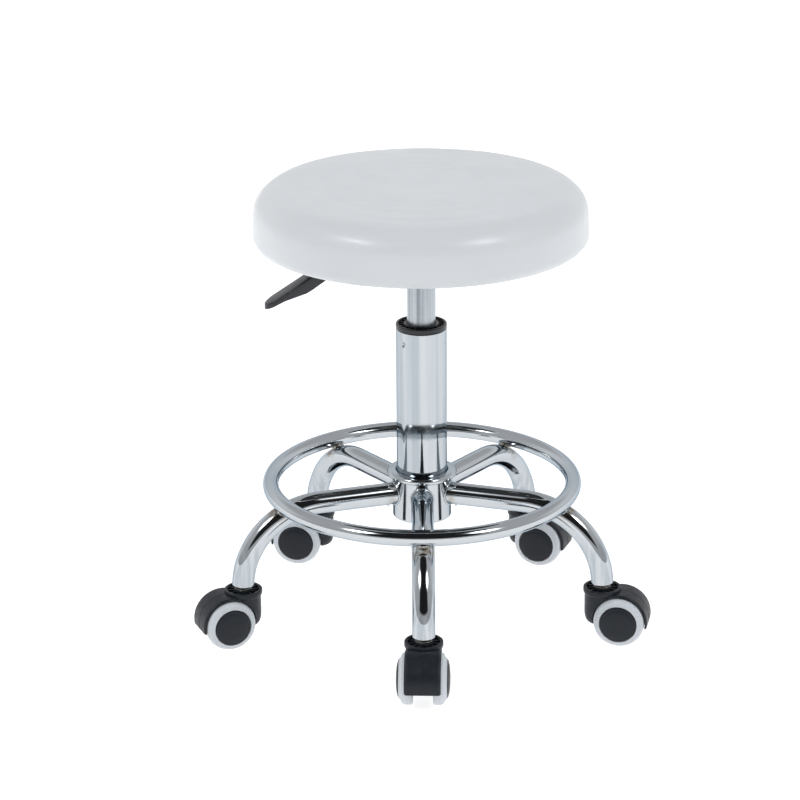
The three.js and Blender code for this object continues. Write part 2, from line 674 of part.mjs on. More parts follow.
function casterHood() {
  const inner = overWheels(fenderInner).reverse();
  const fender = bar([...overWheels(fenderOuter), ...inner], 2 * HOOD_HALF_WIDTH);
  const webFootZ = WHEEL_RADIUS - AXLE_BOSS_RADIUS;
  const web = bar(
    [
      ...overWheels(fenderInner + HOOD_WALL / 2),
      [CASTER_TRAIL - AXLE_BOSS_RADIUS, webFootZ],
      [CASTER_TRAIL + AXLE_BOSS_RADIUS, webFootZ],
    ],
    2 * HOOD_WEB_HALF_WIDTH,
  );
  const onAxle = (solid) => shifted(placed(solid, layAlongY), CASTER_TRAIL, 0, WHEEL_RADIUS);
  const boss = onAxle(
    pin(AXLE_BOSS_RADIUS, -axleBossHalfLength, axleBossHalfLength, SMALL_SIDES),
  );
  // Room for the two wheels, on both sides of the middle.
  const roomEnd = HOOD_COLLAR_RADIUS + CUT_OVERRUN;
  const wheelRoom = pin(fenderInner, axleBossHalfLength, roomEnd, HOOD_SIDES);
  const mirrored = wheelRoom.mirror([0, 0, 1]);
  const stemHole = pin(
    STEM_RADIUS + GAP,
    stemBottomZ - GAP,
    hoodTopZ + CUT_OVERRUN,
    SMALL_SIDES,
  );
  const axleHole = onAxle(
    pin(AXLE_RADIUS + GAP, -HOOD_HALF_WIDTH, HOOD_HALF_WIDTH, SMALL_SIDES),
  );
  return hoodSocket()
    .subtract(onAxle(wheelRoom))
    .subtract(onAxle(mirrored))
    .add(fender)
    .add(web)
    .add(boss)
    .subtract(stemHole)
    .subtract(axleHole);
}

function casterStem() {
  const flangeZ = hoodTopZ + GAP;
  const outline = [
    [0, stemBottomZ],
    [STEM_RADIUS, stemBottomZ],
    [STEM_RADIUS, flangeZ],
    [STEM_FLANGE_RADIUS, flangeZ],
    [STEM_FLANGE_RADIUS, flangeZ + STEM_FLANGE_HEIGHT],
    [STEM_RADIUS, flangeZ + STEM_FLANGE_HEIGHT],
    [STEM_RADIUS, stemTopZ - STEM_CHAMFER],
    [STEM_RADIUS - STEM_CHAMFER, stemTopZ],
    [0, stemTopZ],
  ];
  return turned(outline, SMALL_SIDES);
}

const casterAxle = () => pin(AXLE_RADIUS, -AXLE_HALF_LENGTH, AXLE_HALF_LENGTH, SMALL_SIDES);

// Wheel core with its domed cap, round Z, with its outer side up.
function wheelCore() {
  const bore = AXLE_RADIUS + GAP;
  const outline = [
    [bore, WHEEL_INNER_FACE],
    [capRadius - GAP, WHEEL_INNER_FACE],
    [capRadius - GAP, CAP_EDGE],
    [CAP_SHOULDER_RADIUS, CAP_SHOULDER],
    [0, CAP_APEX],
    [0, AXLE_HALF_LENGTH + GAP],
    [bore, AXLE_HALF_LENGTH + GAP],
  ];
  return turned(outline, WHEEL_SIDES);
}

function wheelTread() {
  const outline = [
    [capRadius, WHEEL_INNER_FACE],
    [WHEEL_RADIUS, WHEEL_INNER_FACE],
    [WHEEL_RADIUS, WHEEL_RIM_EDGE],
    [capRadius, CAP_EDGE],
  ];
  return turned(outline, WHEEL_SIDES);
}

// ---- Assembly ----

const stool = new THREE.Group();

const spin = (mesh, angle) => {
  mesh.rotation.z = angle;
  return mesh;
};

stool.add(piece("seat_cover", seatCover(), seatLeather));
stool.add(piece("seat_foam", seatFoam(), foam));
stool.add(piece("seat_board", seatBoard(), plywood));
stool.add(piece("dust_cover", dustCover(), dustCloth));
stool.add(piece("seat_plate", seatPlate(), blackPaint));
stool.add(piece("taper_socket", taperSocket(), blackPaint));
atBolts((x, y, number) => {
  const bolt = piece(`plate_bolt_${number}`, plateBolt(), zincSteel);
  bolt.position.set(x, y, 0);
  stool.add(bolt);
});
stool.add(spin(piece("lever_rod", leverRod(), zincSteel), LEVER_HEADING));
stool.add(spin(piece("lever_handle", leverHandle(), blackPlastic), LEVER_HEADING));
stool.add(piece("gas_cylinder", gasCylinder(), satinSteel));
stool.add(piece("release_button", releaseButton(), zincSteel));
stool.add(piece("piston_rod", pistonRod(), zincSteel));
stool.add(piece("thrust_bearing", thrustBearing(), zincSteel));
stool.add(piece("column_tube", columnTube(), chrome));
stool.add(piece("column_collar", columnCollar(), blackPlastic));
stool.add(piece("hub", hub(), chrome));
stool.add(piece("foot_ring", footRing(), chrome));

// The first leg points to -Y, and the others follow anticlockwise.
for (let index = 0; index < LEG_COUNT; index += 1) {
  const number = index + 1;
  const angle = -Math.PI / 2 + (2 * Math.PI * index) / LEG_COUNT;
  stool.add(spin(piece(`leg_${number}`, leg(), chrome), angle));

  const caster = new THREE.Group();
  caster.position.set(STEM_CIRCLE_RADIUS * Math.cos(angle), STEM_CIRCLE_RADIUS * Math.sin(angle), 0);
  caster.rotation.z = CASTER_HEADINGS[index];
  caster.add(piece(`caster_hood_${number}`, casterHood(), blackPlastic));
  caster.add(piece(`caster_stem_${number}`, casterStem(), zincSteel));

  const axle = new THREE.Group();
  axle.position.set(CASTER_TRAIL, 0, WHEEL_RADIUS);
  axle.rotation.x = -Math.PI / 2;
  axle.add(piece(`caster_axle_${number}`, casterAxle(), zincSteel));
  for (const [side, turn] of [["left", 0], ["right", Math.PI]]) {
    const wheel = new THREE.Group();
    wheel.rotation.x = turn;
    wheel.add(piece(`wheel_${side}_${number}`, wheelCore(), blackPlastic));
    wheel.add(piece(`tread_${side}_${number}`, wheelTread(), paleTread));
    axle.add(wheel);
  }
  caster.add(axle);
  stool.add(caster);
}

export default stool;
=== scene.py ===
import json
from math import acos, atan2, cos, exp, hypot, pi, radians, sin, sqrt, tan

import bmesh
import bpy
from mathutils import Matrix, Vector, noise
from mathutils.bvhtree import BVHTree


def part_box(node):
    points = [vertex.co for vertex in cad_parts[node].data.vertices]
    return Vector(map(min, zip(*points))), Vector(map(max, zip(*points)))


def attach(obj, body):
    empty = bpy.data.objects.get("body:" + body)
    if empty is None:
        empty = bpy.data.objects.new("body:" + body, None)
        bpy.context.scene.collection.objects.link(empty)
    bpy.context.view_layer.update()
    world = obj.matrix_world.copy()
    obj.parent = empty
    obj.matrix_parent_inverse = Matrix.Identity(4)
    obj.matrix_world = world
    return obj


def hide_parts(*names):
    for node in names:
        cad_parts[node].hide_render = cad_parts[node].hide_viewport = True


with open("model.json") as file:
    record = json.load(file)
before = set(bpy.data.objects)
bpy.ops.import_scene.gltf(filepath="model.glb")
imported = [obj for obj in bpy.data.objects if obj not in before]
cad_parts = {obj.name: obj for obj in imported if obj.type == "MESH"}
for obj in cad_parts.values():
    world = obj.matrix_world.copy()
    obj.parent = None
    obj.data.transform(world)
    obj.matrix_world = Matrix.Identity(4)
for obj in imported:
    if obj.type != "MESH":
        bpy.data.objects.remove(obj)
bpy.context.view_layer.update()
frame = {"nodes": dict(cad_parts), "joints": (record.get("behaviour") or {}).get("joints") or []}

scene = bpy.context.scene
joints = {joint["name"]: joint for joint in frame["joints"]}
print("frame loaded")


# Shader maths: a signal is one output socket, and + - * / on signals add Math nodes.

class Signal:
    def __init__(self, tree, socket):
        self.tree = tree
        self.socket = socket

    def maths(self, operation, *items):
        node = self.tree.nodes.new("ShaderNodeMath")
        node.operation = operation
        for slot, item in zip(node.inputs, items):
            plug(self.tree, slot, item)
        return Signal(self.tree, node.outputs[0])

    def __add__(self, other):
        return self.maths("ADD", self, other)

    def __radd__(self, other):
        return self.maths("ADD", other, self)

    def __sub__(self, other):
        return self.maths("SUBTRACT", self, other)

    def __rsub__(self, other):
        return self.maths("SUBTRACT", other, self)

    def __mul__(self, other):
        return self.maths("MULTIPLY", self, other)

    def __rmul__(self, other):
        return self.maths("MULTIPLY", other, self)

    def __truediv__(self, other):
        return self.maths("DIVIDE", self, other)


def plug(tree, slot, item):
    if isinstance(item, Signal):
        tree.links.new(item.socket, slot)
    else:
        slot.default_value = item


class Nodes:
    def __init__(self, tree):
        self.tree = tree

    # Any node: its type, its settings, then the values or signals of its sockets.
    def add(self, kind, settings=None, sockets=None, output=0):
        node = self.tree.nodes.new("ShaderNode" + kind)
        for name, value in (settings or {}).items():
            if name == "stops":
                for stop, (place, shade) in zip(node.color_ramp.elements, value):
                    stop.position = place
                    stop.color = shade
            else:
                setattr(node, name, value)
        for name, item in (sockets or {}).items():
            plug(self.tree, node.inputs[name], item)
        return Signal(self.tree, node.outputs[output])

    def maths(self, operation, *items):
        return Signal(self.tree, None).maths(operation, *items)

    def grain(self, place, scale, detail=2.0, roughness=0.5):
        sockets = {"Vector": place, "Scale": scale, "Detail": detail, "Roughness": roughness}
        return self.add("TexNoise", None, sockets)

    def cells(self, place, scale):
        return self.add("TexVoronoi", None, {"Vector": place, "Scale": scale})

    def spread(self, signal, low, high, start=0.0, end=1.0):
        settings = {"interpolation_type": "SMOOTHSTEP"}
        sockets = {"Value": signal, "From Min": low, "From Max": high, "To Min": start, "To Max": end}
        return self.add("MapRange", settings, sockets)

    def apart(self, vector):
        first = self.add("SeparateXYZ", None, {0: vector})
        return [Signal(self.tree, output) for output in first.socket.node.outputs]

    # A colour between two colours, each of them fixed or a signal.
    def tint(self, share, first, second):
        pair = [item if isinstance(item, Signal) else (*item, 1.0) for item in (first, second)]
        return self.add("Mix", {"data_type": "RGBA"}, {0: share, 6: pair[0], 7: pair[1]}, 2)

    def stretched(self, place, scale):
        return self.add("VectorMath", {"operation": "MULTIPLY"}, {0: place, 1: scale})


# A finish is one material: uniform values go straight on the shader, signals are linked to it.
class Finish(Nodes):
    def __init__(self, name, **uniform):
        self.material = bpy.data.materials.new(name)
        self.material.use_nodes = True
        super().__init__(self.material.node_tree)
        self.shader = self.tree.nodes["Principled BSDF"]
        for socket, value in uniform.items():
            self.shader.inputs[socket.replace("_", " ")].default_value = value
        self.place = self.add("TexCoord", None, None, 3)
        self.x, self.y, self.z = self.apart(self.place)

    def feed(self, socket, signal):
        plug(self.tree, self.shader.inputs[socket], signal)

    def relief(self, height, depth, strength=1.0):
        sockets = {"Height": height, "Distance": depth, "Strength": strength}
        self.feed("Normal", self.add("Bump", None, sockets))

    def fromAxis(self):
        level = self.stretched(self.place, (1, 1, 0))
        return self.add("VectorMath", {"operation": "LENGTH"}, {0: level}, 1)


def whiteVinyl():
    skin = Finish("whiteVinyl", Coat_Weight=0.35, Coat_Roughness=0.2, Specular_IOR_Level=0.38)
    cloud = skin.grain(skin.place, 9.0, 4.0)
    skin.feed("Base Color", skin.tint(cloud, (0.585, 0.612, 0.63), (0.655, 0.682, 0.70)))
    skin.feed("Roughness", skin.spread(skin.grain(skin.place, 30.0), 0.3, 0.7, 0.36, 0.47))
    pores = skin.cells(skin.place, 950.0)
    creases = skin.grain(skin.place, 260.0, 3.0)
    skin.relief(pores * 0.6 + creases * 0.5, 0.00012, 0.45)
    return skin.material


# Chrome plate. Darker streaks along Z in the base colour, below a level, are painted reflection bands.
# Straw heat tint lies round the hub and round one spot, which is given as its distance from the axis and its
# level.
def chromeFinish(name, heatAt=None, drawnGrainAndPaintedBands=0.0, below=1.0):
    plate = Finish(name, Metallic=1.0, Specular_Tint=(0.5, 0.57, 0.63, 1.0))
    smudge = plate.grain(plate.place, 34.0, 5.0, 0.6)
    bright = plate.tint(smudge, (0.50, 0.53, 0.55), (0.57, 0.60, 0.62))
    # Painted reflection: dark vertical bands mixed into the base colour stand in for the dark reflections
    # seen on upright chrome.
    if drawnGrainAndPaintedBands:
        streak = plate.grain(plate.stretched(plate.place, (drawnGrainAndPaintedBands, drawnGrainAndPaintedBands, 1.5)), 1.0, 2.0)
        upright = plate.spread(plate.z, below, below - 0.035)
        share = plate.spread(streak, 0.36, 0.64, 0.75, 0.0) * upright
        bright = plate.tint(share, bright, (0.36, 0.405, 0.44))
    if heatAt:
        away = plate.fromAxis()
        across, drop = away - heatAt[0], plate.z - heatAt[1]
        near = plate.spread(plate.maths("SQRT", across * across + drop * drop), 0.016, 0.004)
        atHub = plate.spread(away, 0.044, 0.034) * 0.5
        patchy = plate.spread(plate.grain(plate.place, 170.0, 3.0), 0.35, 0.6)
        bright = plate.tint((near + atHub) * patchy * 0.85, bright, (0.27, 0.205, 0.13))
    plate.feed("Base Color", bright)
    plate.feed("Roughness", plate.spread(smudge, 0.35, 0.75, 0.035, 0.11))
    plate.relief(plate.grain(plate.place, 36.0, 1.0), 0.00006, 0.12)
    return plate.material


def weldBead():
    bead = Finish("weldBead", Metallic=1.0)
    mottle = bead.grain(bead.place, 420.0, 4.0)
    clean = bead.spread(mottle, 0.4, 0.62)
    bead.feed("Base Color", bead.tint(clean, (0.42, 0.36, 0.29), (0.62, 0.62, 0.6)))
    bead.feed("Roughness", bead.spread(mottle, 0.3, 0.7, 0.14, 0.34))
    bead.relief(bead.grain(bead.place, 900.0, 3.0), 0.0006, 0.5)
    return bead.material


def satinTube():
    tube = Finish("satinTube", Metallic=1.0)
    drawnGrainAndPaintedBands = tube.grain(tube.stretched(tube.place, (14.0, 14.0, 1500.0)), 1.0, 3.0)
    streak = tube.grain(tube.stretched(tube.place, (120.0, 120.0, 3.0)), 1.0, 2.0)
    bare = tube.spread(streak, 0.33, 0.66)
    tube.feed("Base Color", tube.tint(bare, (0.22, 0.25, 0.275), (0.50, 0.54, 0.57)))
    tube.feed("Roughness", tube.spread(drawnGrainAndPaintedBands, 0.3, 0.7, 0.26, 0.36))
    tube.relief(drawnGrainAndPaintedBands, 0.00006, 0.3)
    return tube.material


def blackMoulding(name, shine, dark, light, low, high):
    plastic = Finish(name, Specular_IOR_Level=shine)
    drift = plastic.grain(plastic.place, 60.0, 4.0)
    plastic.feed("Base Color", plastic.tint(drift, dark, light))
    plastic.feed("Roughness", plastic.spread(plastic.grain(plastic.place, 210.0, 3.0), 0.3, 0.7, low, high))
    spark = plastic.cells(plastic.place, 1500.0)
    plastic.relief(spark + plastic.grain(plastic.place, 700.0), 0.00009, 0.5)
    return plastic.material


def paleTread():
    rim = Finish("paleTread", Subsurface_Weight=0.04)
    cloud = rim.grain(rim.place, 75.0, 4.0)
    fresh = rim.tint(cloud, (0.52, 0.555, 0.59), (0.60, 0.63, 0.66))
    scuff = rim.spread(rim.grain(rim.stretched(rim.place, (60.0, 900.0, 60.0)), 1.0, 4.0), 0.58, 0.72)
    rim.feed("Base Color", rim.tint(scuff * 0.3, fresh, (0.33, 0.34, 0.35)))
    rim.feed("Roughness", rim.spread(cloud, 0.3, 0.7, 0.42, 0.6))
    rim.relief(rim.grain(rim.place, 650.0, 3.0), 0.00015, 0.4)
    return rim.material


def blackPowderCoat():
    coat = Finish("blackPowderCoat", Coat_Weight=0.1)
    peel = coat.grain(coat.place, 900.0, 2.0)
    cloud = coat.grain(coat.place, 30.0, 4.0)
    coat.feed("Base Color", coat.tint(cloud, (0.012, 0.013, 0.014), (0.024, 0.025, 0.027)))
    coat.feed("Roughness", coat.spread(peel, 0.3, 0.7, 0.34, 0.5))
    coat.relief(peel, 0.0002, 0.6)
    return coat.material


def zincPlate():
    zinc = Finish("zincPlate", Metallic=1.0)
    spangle = zinc.cells(zinc.place, 380.0)
    haze = zinc.grain(zinc.place, 90.0, 4.0)
    zinc.feed("Base Color", zinc.tint(haze, (0.44, 0.45, 0.45), (0.60, 0.60, 0.57)))
    zinc.feed("Roughness", zinc.spread(haze, 0.3, 0.7, 0.28, 0.46))
    zinc.relief(spangle, 0.0001, 0.25)
    return zinc.material


def dustCloth():
    cloth = Finish("dustCloth", Sheen_Weight=0.15, Sheen_Roughness=0.5)
    fibres = cloth.grain(cloth.stretched(cloth.place, (500.0, 1900.0, 500.0)), 1.0, 4.0)
    across = cloth.grain(cloth.stretched(cloth.place, (1700.0, 420.0, 500.0)), 1.0, 4.0)
    bonds = cloth.spread(cloth.cells(cloth.place, 620.0), 0.1, 0.35)
    felt = (fibres + across) * 0.5
    cloth.feed("Base Color", cloth.tint(felt, (0.008, 0.008, 0.009), (0.035, 0.035, 0.038)))
    cloth.feed("Roughness", cloth.spread(felt, 0.3, 0.7, 0.8, 0.98))
    cloth.relief(felt * bonds, 0.0003, 0.8)
    return cloth.material


def plywoodFinish():
    ply = Finish("plywoodBoard")
    figure = ply.grain(ply.stretched(ply.place, (12.0, 190.0, 12.0)), 1.0, 5.0)
    waves = ply.add("TexWave", {"bands_direction": "Z"}, {"Vector": ply.place, "Scale": 110.0})
    layers = ply.spread(waves, 0.4, 0.6)
    wood = ply.tint(figure, (0.36, 0.23, 0.11), (0.58, 0.42, 0.24))
    ply.feed("Base Color", ply.tint(layers * 0.4, wood, (0.28, 0.17, 0.08)))
    ply.feed("Roughness", ply.spread(figure, 0.3, 0.7, 0.65, 0.85))
    ply.relief(figure, 0.0003, 0.5)
    return ply.material


ringLow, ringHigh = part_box("foot_ring")
ringJoint = (ringHigh.x - 0.007, ringLow.z)     # where a leg meets the ring
# Painted reflection bands on the legs' chrome stay below this level, so only the upright ends carry them.
paintedBandsBelow = ringLow.z - 0.022

finishes = {
    "vinyl": whiteVinyl(),
    "chrome": chromeFinish("chromePlate"),
    # The column and the legs' lower ends get painted reflection bands in their chrome colour.
    "columnChrome": chromeFinish("chromeColumn", drawnGrainAndPaintedBands=95.0),
    "legChrome": chromeFinish("chromeLegs", ringJoint, drawnGrainAndPaintedBands=170.0, below=paintedBandsBelow),
    "weld": weldBead(),
    "satin": satinTube(),
    "plastic": blackMoulding("leverPlastic", 0.5, (0.010, 0.0125, 0.016), (0.019, 0.022, 0.027), 0.3, 0.4),
    "nylon": blackMoulding("hoodNylon", 0.28, (0.007, 0.0095, 0.0135), (0.013, 0.017, 0.023), 0.38, 0.5),
    "tread": paleTread(),
    "powder": blackPowderCoat(),
    "zinc": zincPlate(),
    "cloth": dustCloth(),
    "plywood": plywoodFinish(),
}
print("finishes made")


# Mesh helpers.

# Smooth shading, with a hard edge where two faces meet at more than the sharp angle.
def smoothed(data, sharp):
    data.shade_smooth()
    data.set_sharp_from_angle(angle=radians(sharp))


def linked(name, data):
    piece = bpy.data.objects.new(name, data)
    scene.collection.objects.link(piece)
    return piece


def newPiece(name, mesh, finish, sharp=40):
    bmesh.ops.recalc_face_normals(mesh, faces=mesh.faces)
    data = bpy.data.meshes.new(name)
    mesh.to_mesh(data)
    mesh.free()
    smoothed(data, sharp)
    data.materials.append(finishes[finish])
    return linked(name, data)


def applied(piece):
    seen = piece.evaluated_get(bpy.context.evaluated_depsgraph_get())
    data = bpy.data.meshes.new_from_object(seen)
    piece.modifiers.clear()
    piece.data = data
    return piece


def arc(r, z, radius, start, end, steps):
    turns = [radians(start + (end - start) * k / steps) for k in range(steps + 1)]
    return [(r + radius * cos(turn), z + radius * sin(turn)) for turn in turns]


# Rounds the corners of an outline of (r, z) points, but not its ends on the axis.
def eased(outline, radius):
    steps = 3
    soft = []
    for k, (r, z) in enumerate(outline):
        corner = Vector((r, z))
        before = Vector(outline[k - 1])
        after = Vector(outline[(k + 1) % len(outline)])
        turn = (corner - before).angle(after - corner, 0.0)
        if r < 1e-6 or turn < 0.3:
            soft.append((r, z))
            continue
        start = corner + (before - corner).normalized() * min(radius, (before - corner).length * 0.45)
        end = corner + (after - corner).normalized() * min(radius, (after - corner).length * 0.45)
        for step in range(steps + 1):
            t = step / steps
            point = start * (1 - t) ** 2 + corner * 2 * t * (1 - t) + end * t ** 2
            soft.append((point.x, point.y))
    return soft


# A closed outline of (r, z) points turned round Z.
def turned(name, outline, finish, sides=96, sharp=40, shape=None):
    mesh = bmesh.new()
    rings = []
    turns = [2 * pi * k / sides for k in range(sides)]
    for r, z in outline:
        if r < 1e-6:
            rings.append([mesh.verts.new((0, 0, z))])
            continue
        rings.append([mesh.verts.new((r * cos(turn), r * sin(turn), z)) for turn in turns])
    for low, high in zip(rings, rings[1:] + rings[:1]):
        for k in range(sides):
            corners = [low[k % len(low)], low[(k + 1) % len(low)]]
            corners += [high[(k + 1) % len(high)], high[k % len(high)]]
            corners = list(dict.fromkeys(corners))
            if len(corners) > 2:
                mesh.faces.new(corners)
    if shape:
        for vert in mesh.verts:
            vert.co += shape(vert.co)
    return newPiece(name, mesh, finish, sharp)


# A round bar or bead along a line of points.
def roundBar(name, points, radius, finish, closed=False, swell=None):
    curve = bpy.data.curves.new(name, "CURVE")
    curve.dimensions = "3D"
    curve.bevel_depth = radius
    curve.bevel_resolution = 8
    curve.use_fill_caps = not closed
    line = curve.splines.new("POLY")
    line.points.add(len(points) - 1)
    line.use_cyclic_u = closed
    for k, (spot, point) in enumerate(zip(line.points, points)):
        spot.co = (*point, 1)
        spot.radius = swell(k) if swell else 1.0
    holder = linked(name, curve)
    data = bpy.data.meshes.new_from_object(holder.evaluated_get(bpy.context.evaluated_depsgraph_get()))
    bpy.data.objects.remove(holder)
    mesh = bmesh.new()
    mesh.from_mesh(data)
    bmesh.ops.remove_doubles(mesh, verts=mesh.verts, dist=1e-6)
    return newPiece(name, mesh, finish)


# How a weld bead swells and thins along its run.
def uneven(depth, pace, start=0):
    return lambda k: 1 + depth * sin(k * pace + start)


# Faces between two rings of corners.
def bridged(mesh, low, high):
    for k in range(len(low)):
        after = (k + 1) % len(low)
        mesh.faces.new([low[k], low[after], high[after], high[k]])


# A section of (radius, y) points carried round a level axle.
def arched(name, section, centre, start, end, steps, finish):
    mesh = bmesh.new()
    rows = []
    for k in range(steps + 1):
        turn = radians(start + (end - start) * k / steps)
        spots = [(centre[0] + r * cos(turn), y, centre[1] + r * sin(turn)) for r, y in section]
        rows.append([mesh.verts.new(spot) for spot in spots])
    for low, high in zip(rows, rows[1:]):
        bridged(mesh, low, high)
    mesh.faces.new(rows[0])
    mesh.faces.new(rows[-1])
    return newPiece(name, mesh, finish)


# An outline of (a, b) points made into a slab from one level to another, along Z or along Y.
def slab(name, outline, low, high, finish, edge=0.0004, level="z"):
    mesh = bmesh.new()
    put = (lambda a, b, c: (a, b, c)) if level == "z" else (lambda a, b, c: (a, c, b))
    bottom = [mesh.verts.new(put(a, b, low)) for a, b in outline]
    top = [mesh.verts.new(put(a, b, high)) for a, b in outline]
    mesh.faces.new(bottom)
    mesh.faces.new(top)
    bridged(mesh, bottom, top)
    bmesh.ops.recalc_face_normals(mesh, faces=mesh.faces)
    if edge:
        edges = [e for e in mesh.edges if e.calc_face_angle(0) > 0.6]
        bmesh.ops.bevel(mesh, geom=edges, offset=edge, segments=2, affect="EDGES", clamp_overlap=True)
    return newPiece(name, mesh, finish)


def shifted(piece, *by):
    piece.data.transform(Matrix.Translation(by))
    return piece


def turnedBy(piece, angle, axis="Z"):
    piece.data.transform(Matrix.Rotation(angle, 4, axis))
    return piece


def merged(name, pieces):
    mesh = bmesh.new()
    finish = pieces[0].data.materials[0]
    for piece in pieces:
        mesh.from_mesh(piece.data)
        bpy.data.objects.remove(piece)
    data = bpy.data.meshes.new(name)
    mesh.to_mesh(data)
    mesh.free()
    data.materials.append(finish)
    smoothed(data, 40)
    return linked(name, data)


def cutOrJoined(piece, tools, operation, sharp=40):
    for tool in tools:
        step = piece.modifiers.new(operation, "BOOLEAN")
        step.operation = operation
        step.solver = "MANIFOLD"
        step.object = tool
        applied(piece)
        bpy.data.objects.remove(tool)
    smoothed(piece.data, sharp)
    return piece


def settled(piece, body, slot, *nodes):
    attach(piece, body)
    if nodes:
        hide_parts(*nodes)


# A straight rib from one radius to another.
def ribOutline(inner, outer, half):
    return [(inner, -half), (outer, -half), (outer, half), (inner, half)]


# Seat cushion: a foam pad under white vinyl, puffed a little by a cloth simulation.

cushion = {
    "topEdge": 0.0255,
    "bottomEdge": 0.009,
    "lip": 0.0238,          # how far the cover is folded in below
    "pocket": 0.0143,       # room for the board above the lip
    "boardEdge": 0.0097,    # foam outside the board
    "cover": 0.0014,
    "slack": 0.002,         # the blank starts this much smaller
    "voxel": 0.005,
    "pressure": 4.0,
    "cap": 0.0032,
    "give": 0.2,            # share of the puffing that shows
    "probe": 0.012,         # the puffed surface is looked for from this far inside
    "probeLength": 0.03,
    "fade": 0.008,          # height over which the puffing sets in
    "smoothing": 30,
    "rings": (0.061, 0.076, 0.094, 0.120),
    "ringWidth": 0.0036,
    "ringDepth": 0.00042,
    "pleats": 56,
    "pleatDepth": 0.0004,
}


def cushionSkin(radius, bottom, top, shrink=0.0):
    high, low = cushion["topEdge"], cushion["bottomEdge"]
    flat = radius - high
    rows = [(flat * k / 68, top - shrink) for k in range(68)]
    rows += arc(flat, top - high, high - shrink, 90, 0, 14)
    rows += arc(radius - low, bottom + low, low - shrink, 0, -90, 8)
    return rows


def puffed(radius, bottom, top):
    outline = cushionSkin(radius, bottom, top, cushion["slack"])
    outline.append((0, bottom + cushion["slack"]))
    blank = turned("cushionBlank", outline, "vinyl", 72)
    remesh = blank.modifiers.new("even", "REMESH")
    remesh.mode = "VOXEL"
    remesh.voxel_size = cushion["voxel"]
    applied(blank)
    rest = [vert.co.copy() for vert in blank.data.vertices]
    held = blank.vertex_groups.new(name="held")
    foot = [k for k, spot in enumerate(rest) if spot.z < bottom + cushion["bottomEdge"]]
    held.add(foot, 1.0, "REPLACE")
    cloth = blank.modifiers.new("puff", "CLOTH")
    cloth.settings.vertex_group_mass = "held"
    cloth.settings.use_pressure = True
    cloth.settings.uniform_pressure_force = cushion["pressure"]
    cloth.settings.tension_stiffness = 30
    cloth.settings.bending_stiffness = 8
    cloth.settings.effector_weights.gravity = 0
    cloth.point_cache.frame_start = 1
    cloth.point_cache.frame_end = 20
    for step in range(1, 21):
        scene.frame_set(step)
    applied(blank)
    scene.frame_set(1)
    for vert, was in zip(blank.data.vertices, rest):
        move = vert.co - was
        if move.length > cushion["cap"]:
            vert.co = was + move.normalized() * cushion["cap"]
    relaxed = blank.modifiers.new("relaxed", "SMOOTH")
    relaxed.iterations = cushion["smoothing"]
    return applied(blank)


def cushionPiece():
    low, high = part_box("seat_cover")
    radius, bottom, top = high.x, low.z, high.z
    skin = cushionSkin(radius, bottom, top)
    lip = radius - cushion["lip"]
    board = radius - cushion["boardEdge"]
    inside = bottom + cushion["cover"]
    folded = [(radius - cushion["bottomEdge"] - 0.003 * k, bottom) for k in range(1, 5)]
    pocket = [(lip, bottom), (lip, inside), (board, inside), (board, bottom + cushion["pocket"])]
    outline = skin + folded + pocket + [(0, bottom + cushion["pocket"])]
    surface = None
    blank = puffed(radius, bottom, top)
    surface = BVHTree.FromObject(blank, bpy.context.evaluated_depsgraph_get())
    bpy.data.objects.remove(blank)
    flat = radius - cushion["topEdge"]
    shoulder = top - cushion["topEdge"]
    sideFoot = bottom + cushion["bottomEdge"]

    def shape(spot):
        r = hypot(spot.x, spot.y)
        move = Vector((0, 0, 0))
        outside = spot.z > sideFoot and (r > board or spot.z > shoulder)
        if surface and outside:
            core = Vector((0, 0, spot.z))
            if spot.z >= shoulder:
                pull = min(1.0, flat / r) if r > 1e-6 else 0.0
                core = Vector((spot.x * pull, spot.y * pull, shoulder))
            out = (spot - core).normalized()
            hit = surface.ray_cast(spot - out * cushion["probe"], out, cushion["probeLength"])[0]
            if hit:
                fade = min(1.0, (spot.z - sideFoot) / cushion["fade"])
                move = (hit - spot) * fade * cushion["give"]
        if spot.z > top - 0.002:
            press = sum(exp(-((r - ring) / cushion["ringWidth"]) ** 2) for ring in cushion["rings"])
            move.z -= press * cushion["ringDepth"]
        if abs(spot.z - bottom) < 1e-5 and r < radius - cushion["bottomEdge"] * 0.8:
            fold = max(0.0, cos(cushion["pleats"] * atan2(spot.y, spot.x))) ** 3
            move.z += fold * cushion["pleatDepth"]
        return move

    pad = turned("seatCushion", outline, "vinyl", 192, 60, shape)
    settled(pad, "seat", "seat_leather", "seat_cover", "seat_foam")


cushionPiece()
print("cushion made")


# Underside: dust cloth with its staples, pressed plate, washers, bolts and taper socket.

leverPivot = joints["lever_lift"]["pos_m"]
leverHeading = atan2(leverPivot[1], leverPivot[0])

underside = {
    "clothThick": 0.0005,
    "clothSag": 0.0004,
    "staples": 34,
    "stapleInset": 0.006,
    "stapleLength": 0.010,
    "stapleWire": 0.0004,
    "plateCorner": 0.016,
    "plateEdge": 0.0007,
    "washer": 0.0078,
    "washerThick": 0.0009,
}


def dustSheet():
    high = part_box("dust_cover")[1]
    radius, top = high.x, high.z
    bottom = top - underside["clothThick"]
    outer = [(radius * k / 26, bottom) for k in range(27)]
    outline = outer + [(r, top) for r, z in reversed(outer)]

    def sag(spot):
        r = hypot(spot.x, spot.y)
        loose = noise.noise(spot * 22) * 0.5 + 0.5
        edge = max(0.0, 1 - (r / radius) ** 6)
        return Vector((0, 0, -underside["clothSag"] * loose * edge))

    cloth = turned("dustSheet", outline, "cloth", 96, 60, sag)
    settled(cloth, "seat", "dust_cloth", "dust_cover")
    return radius, bottom


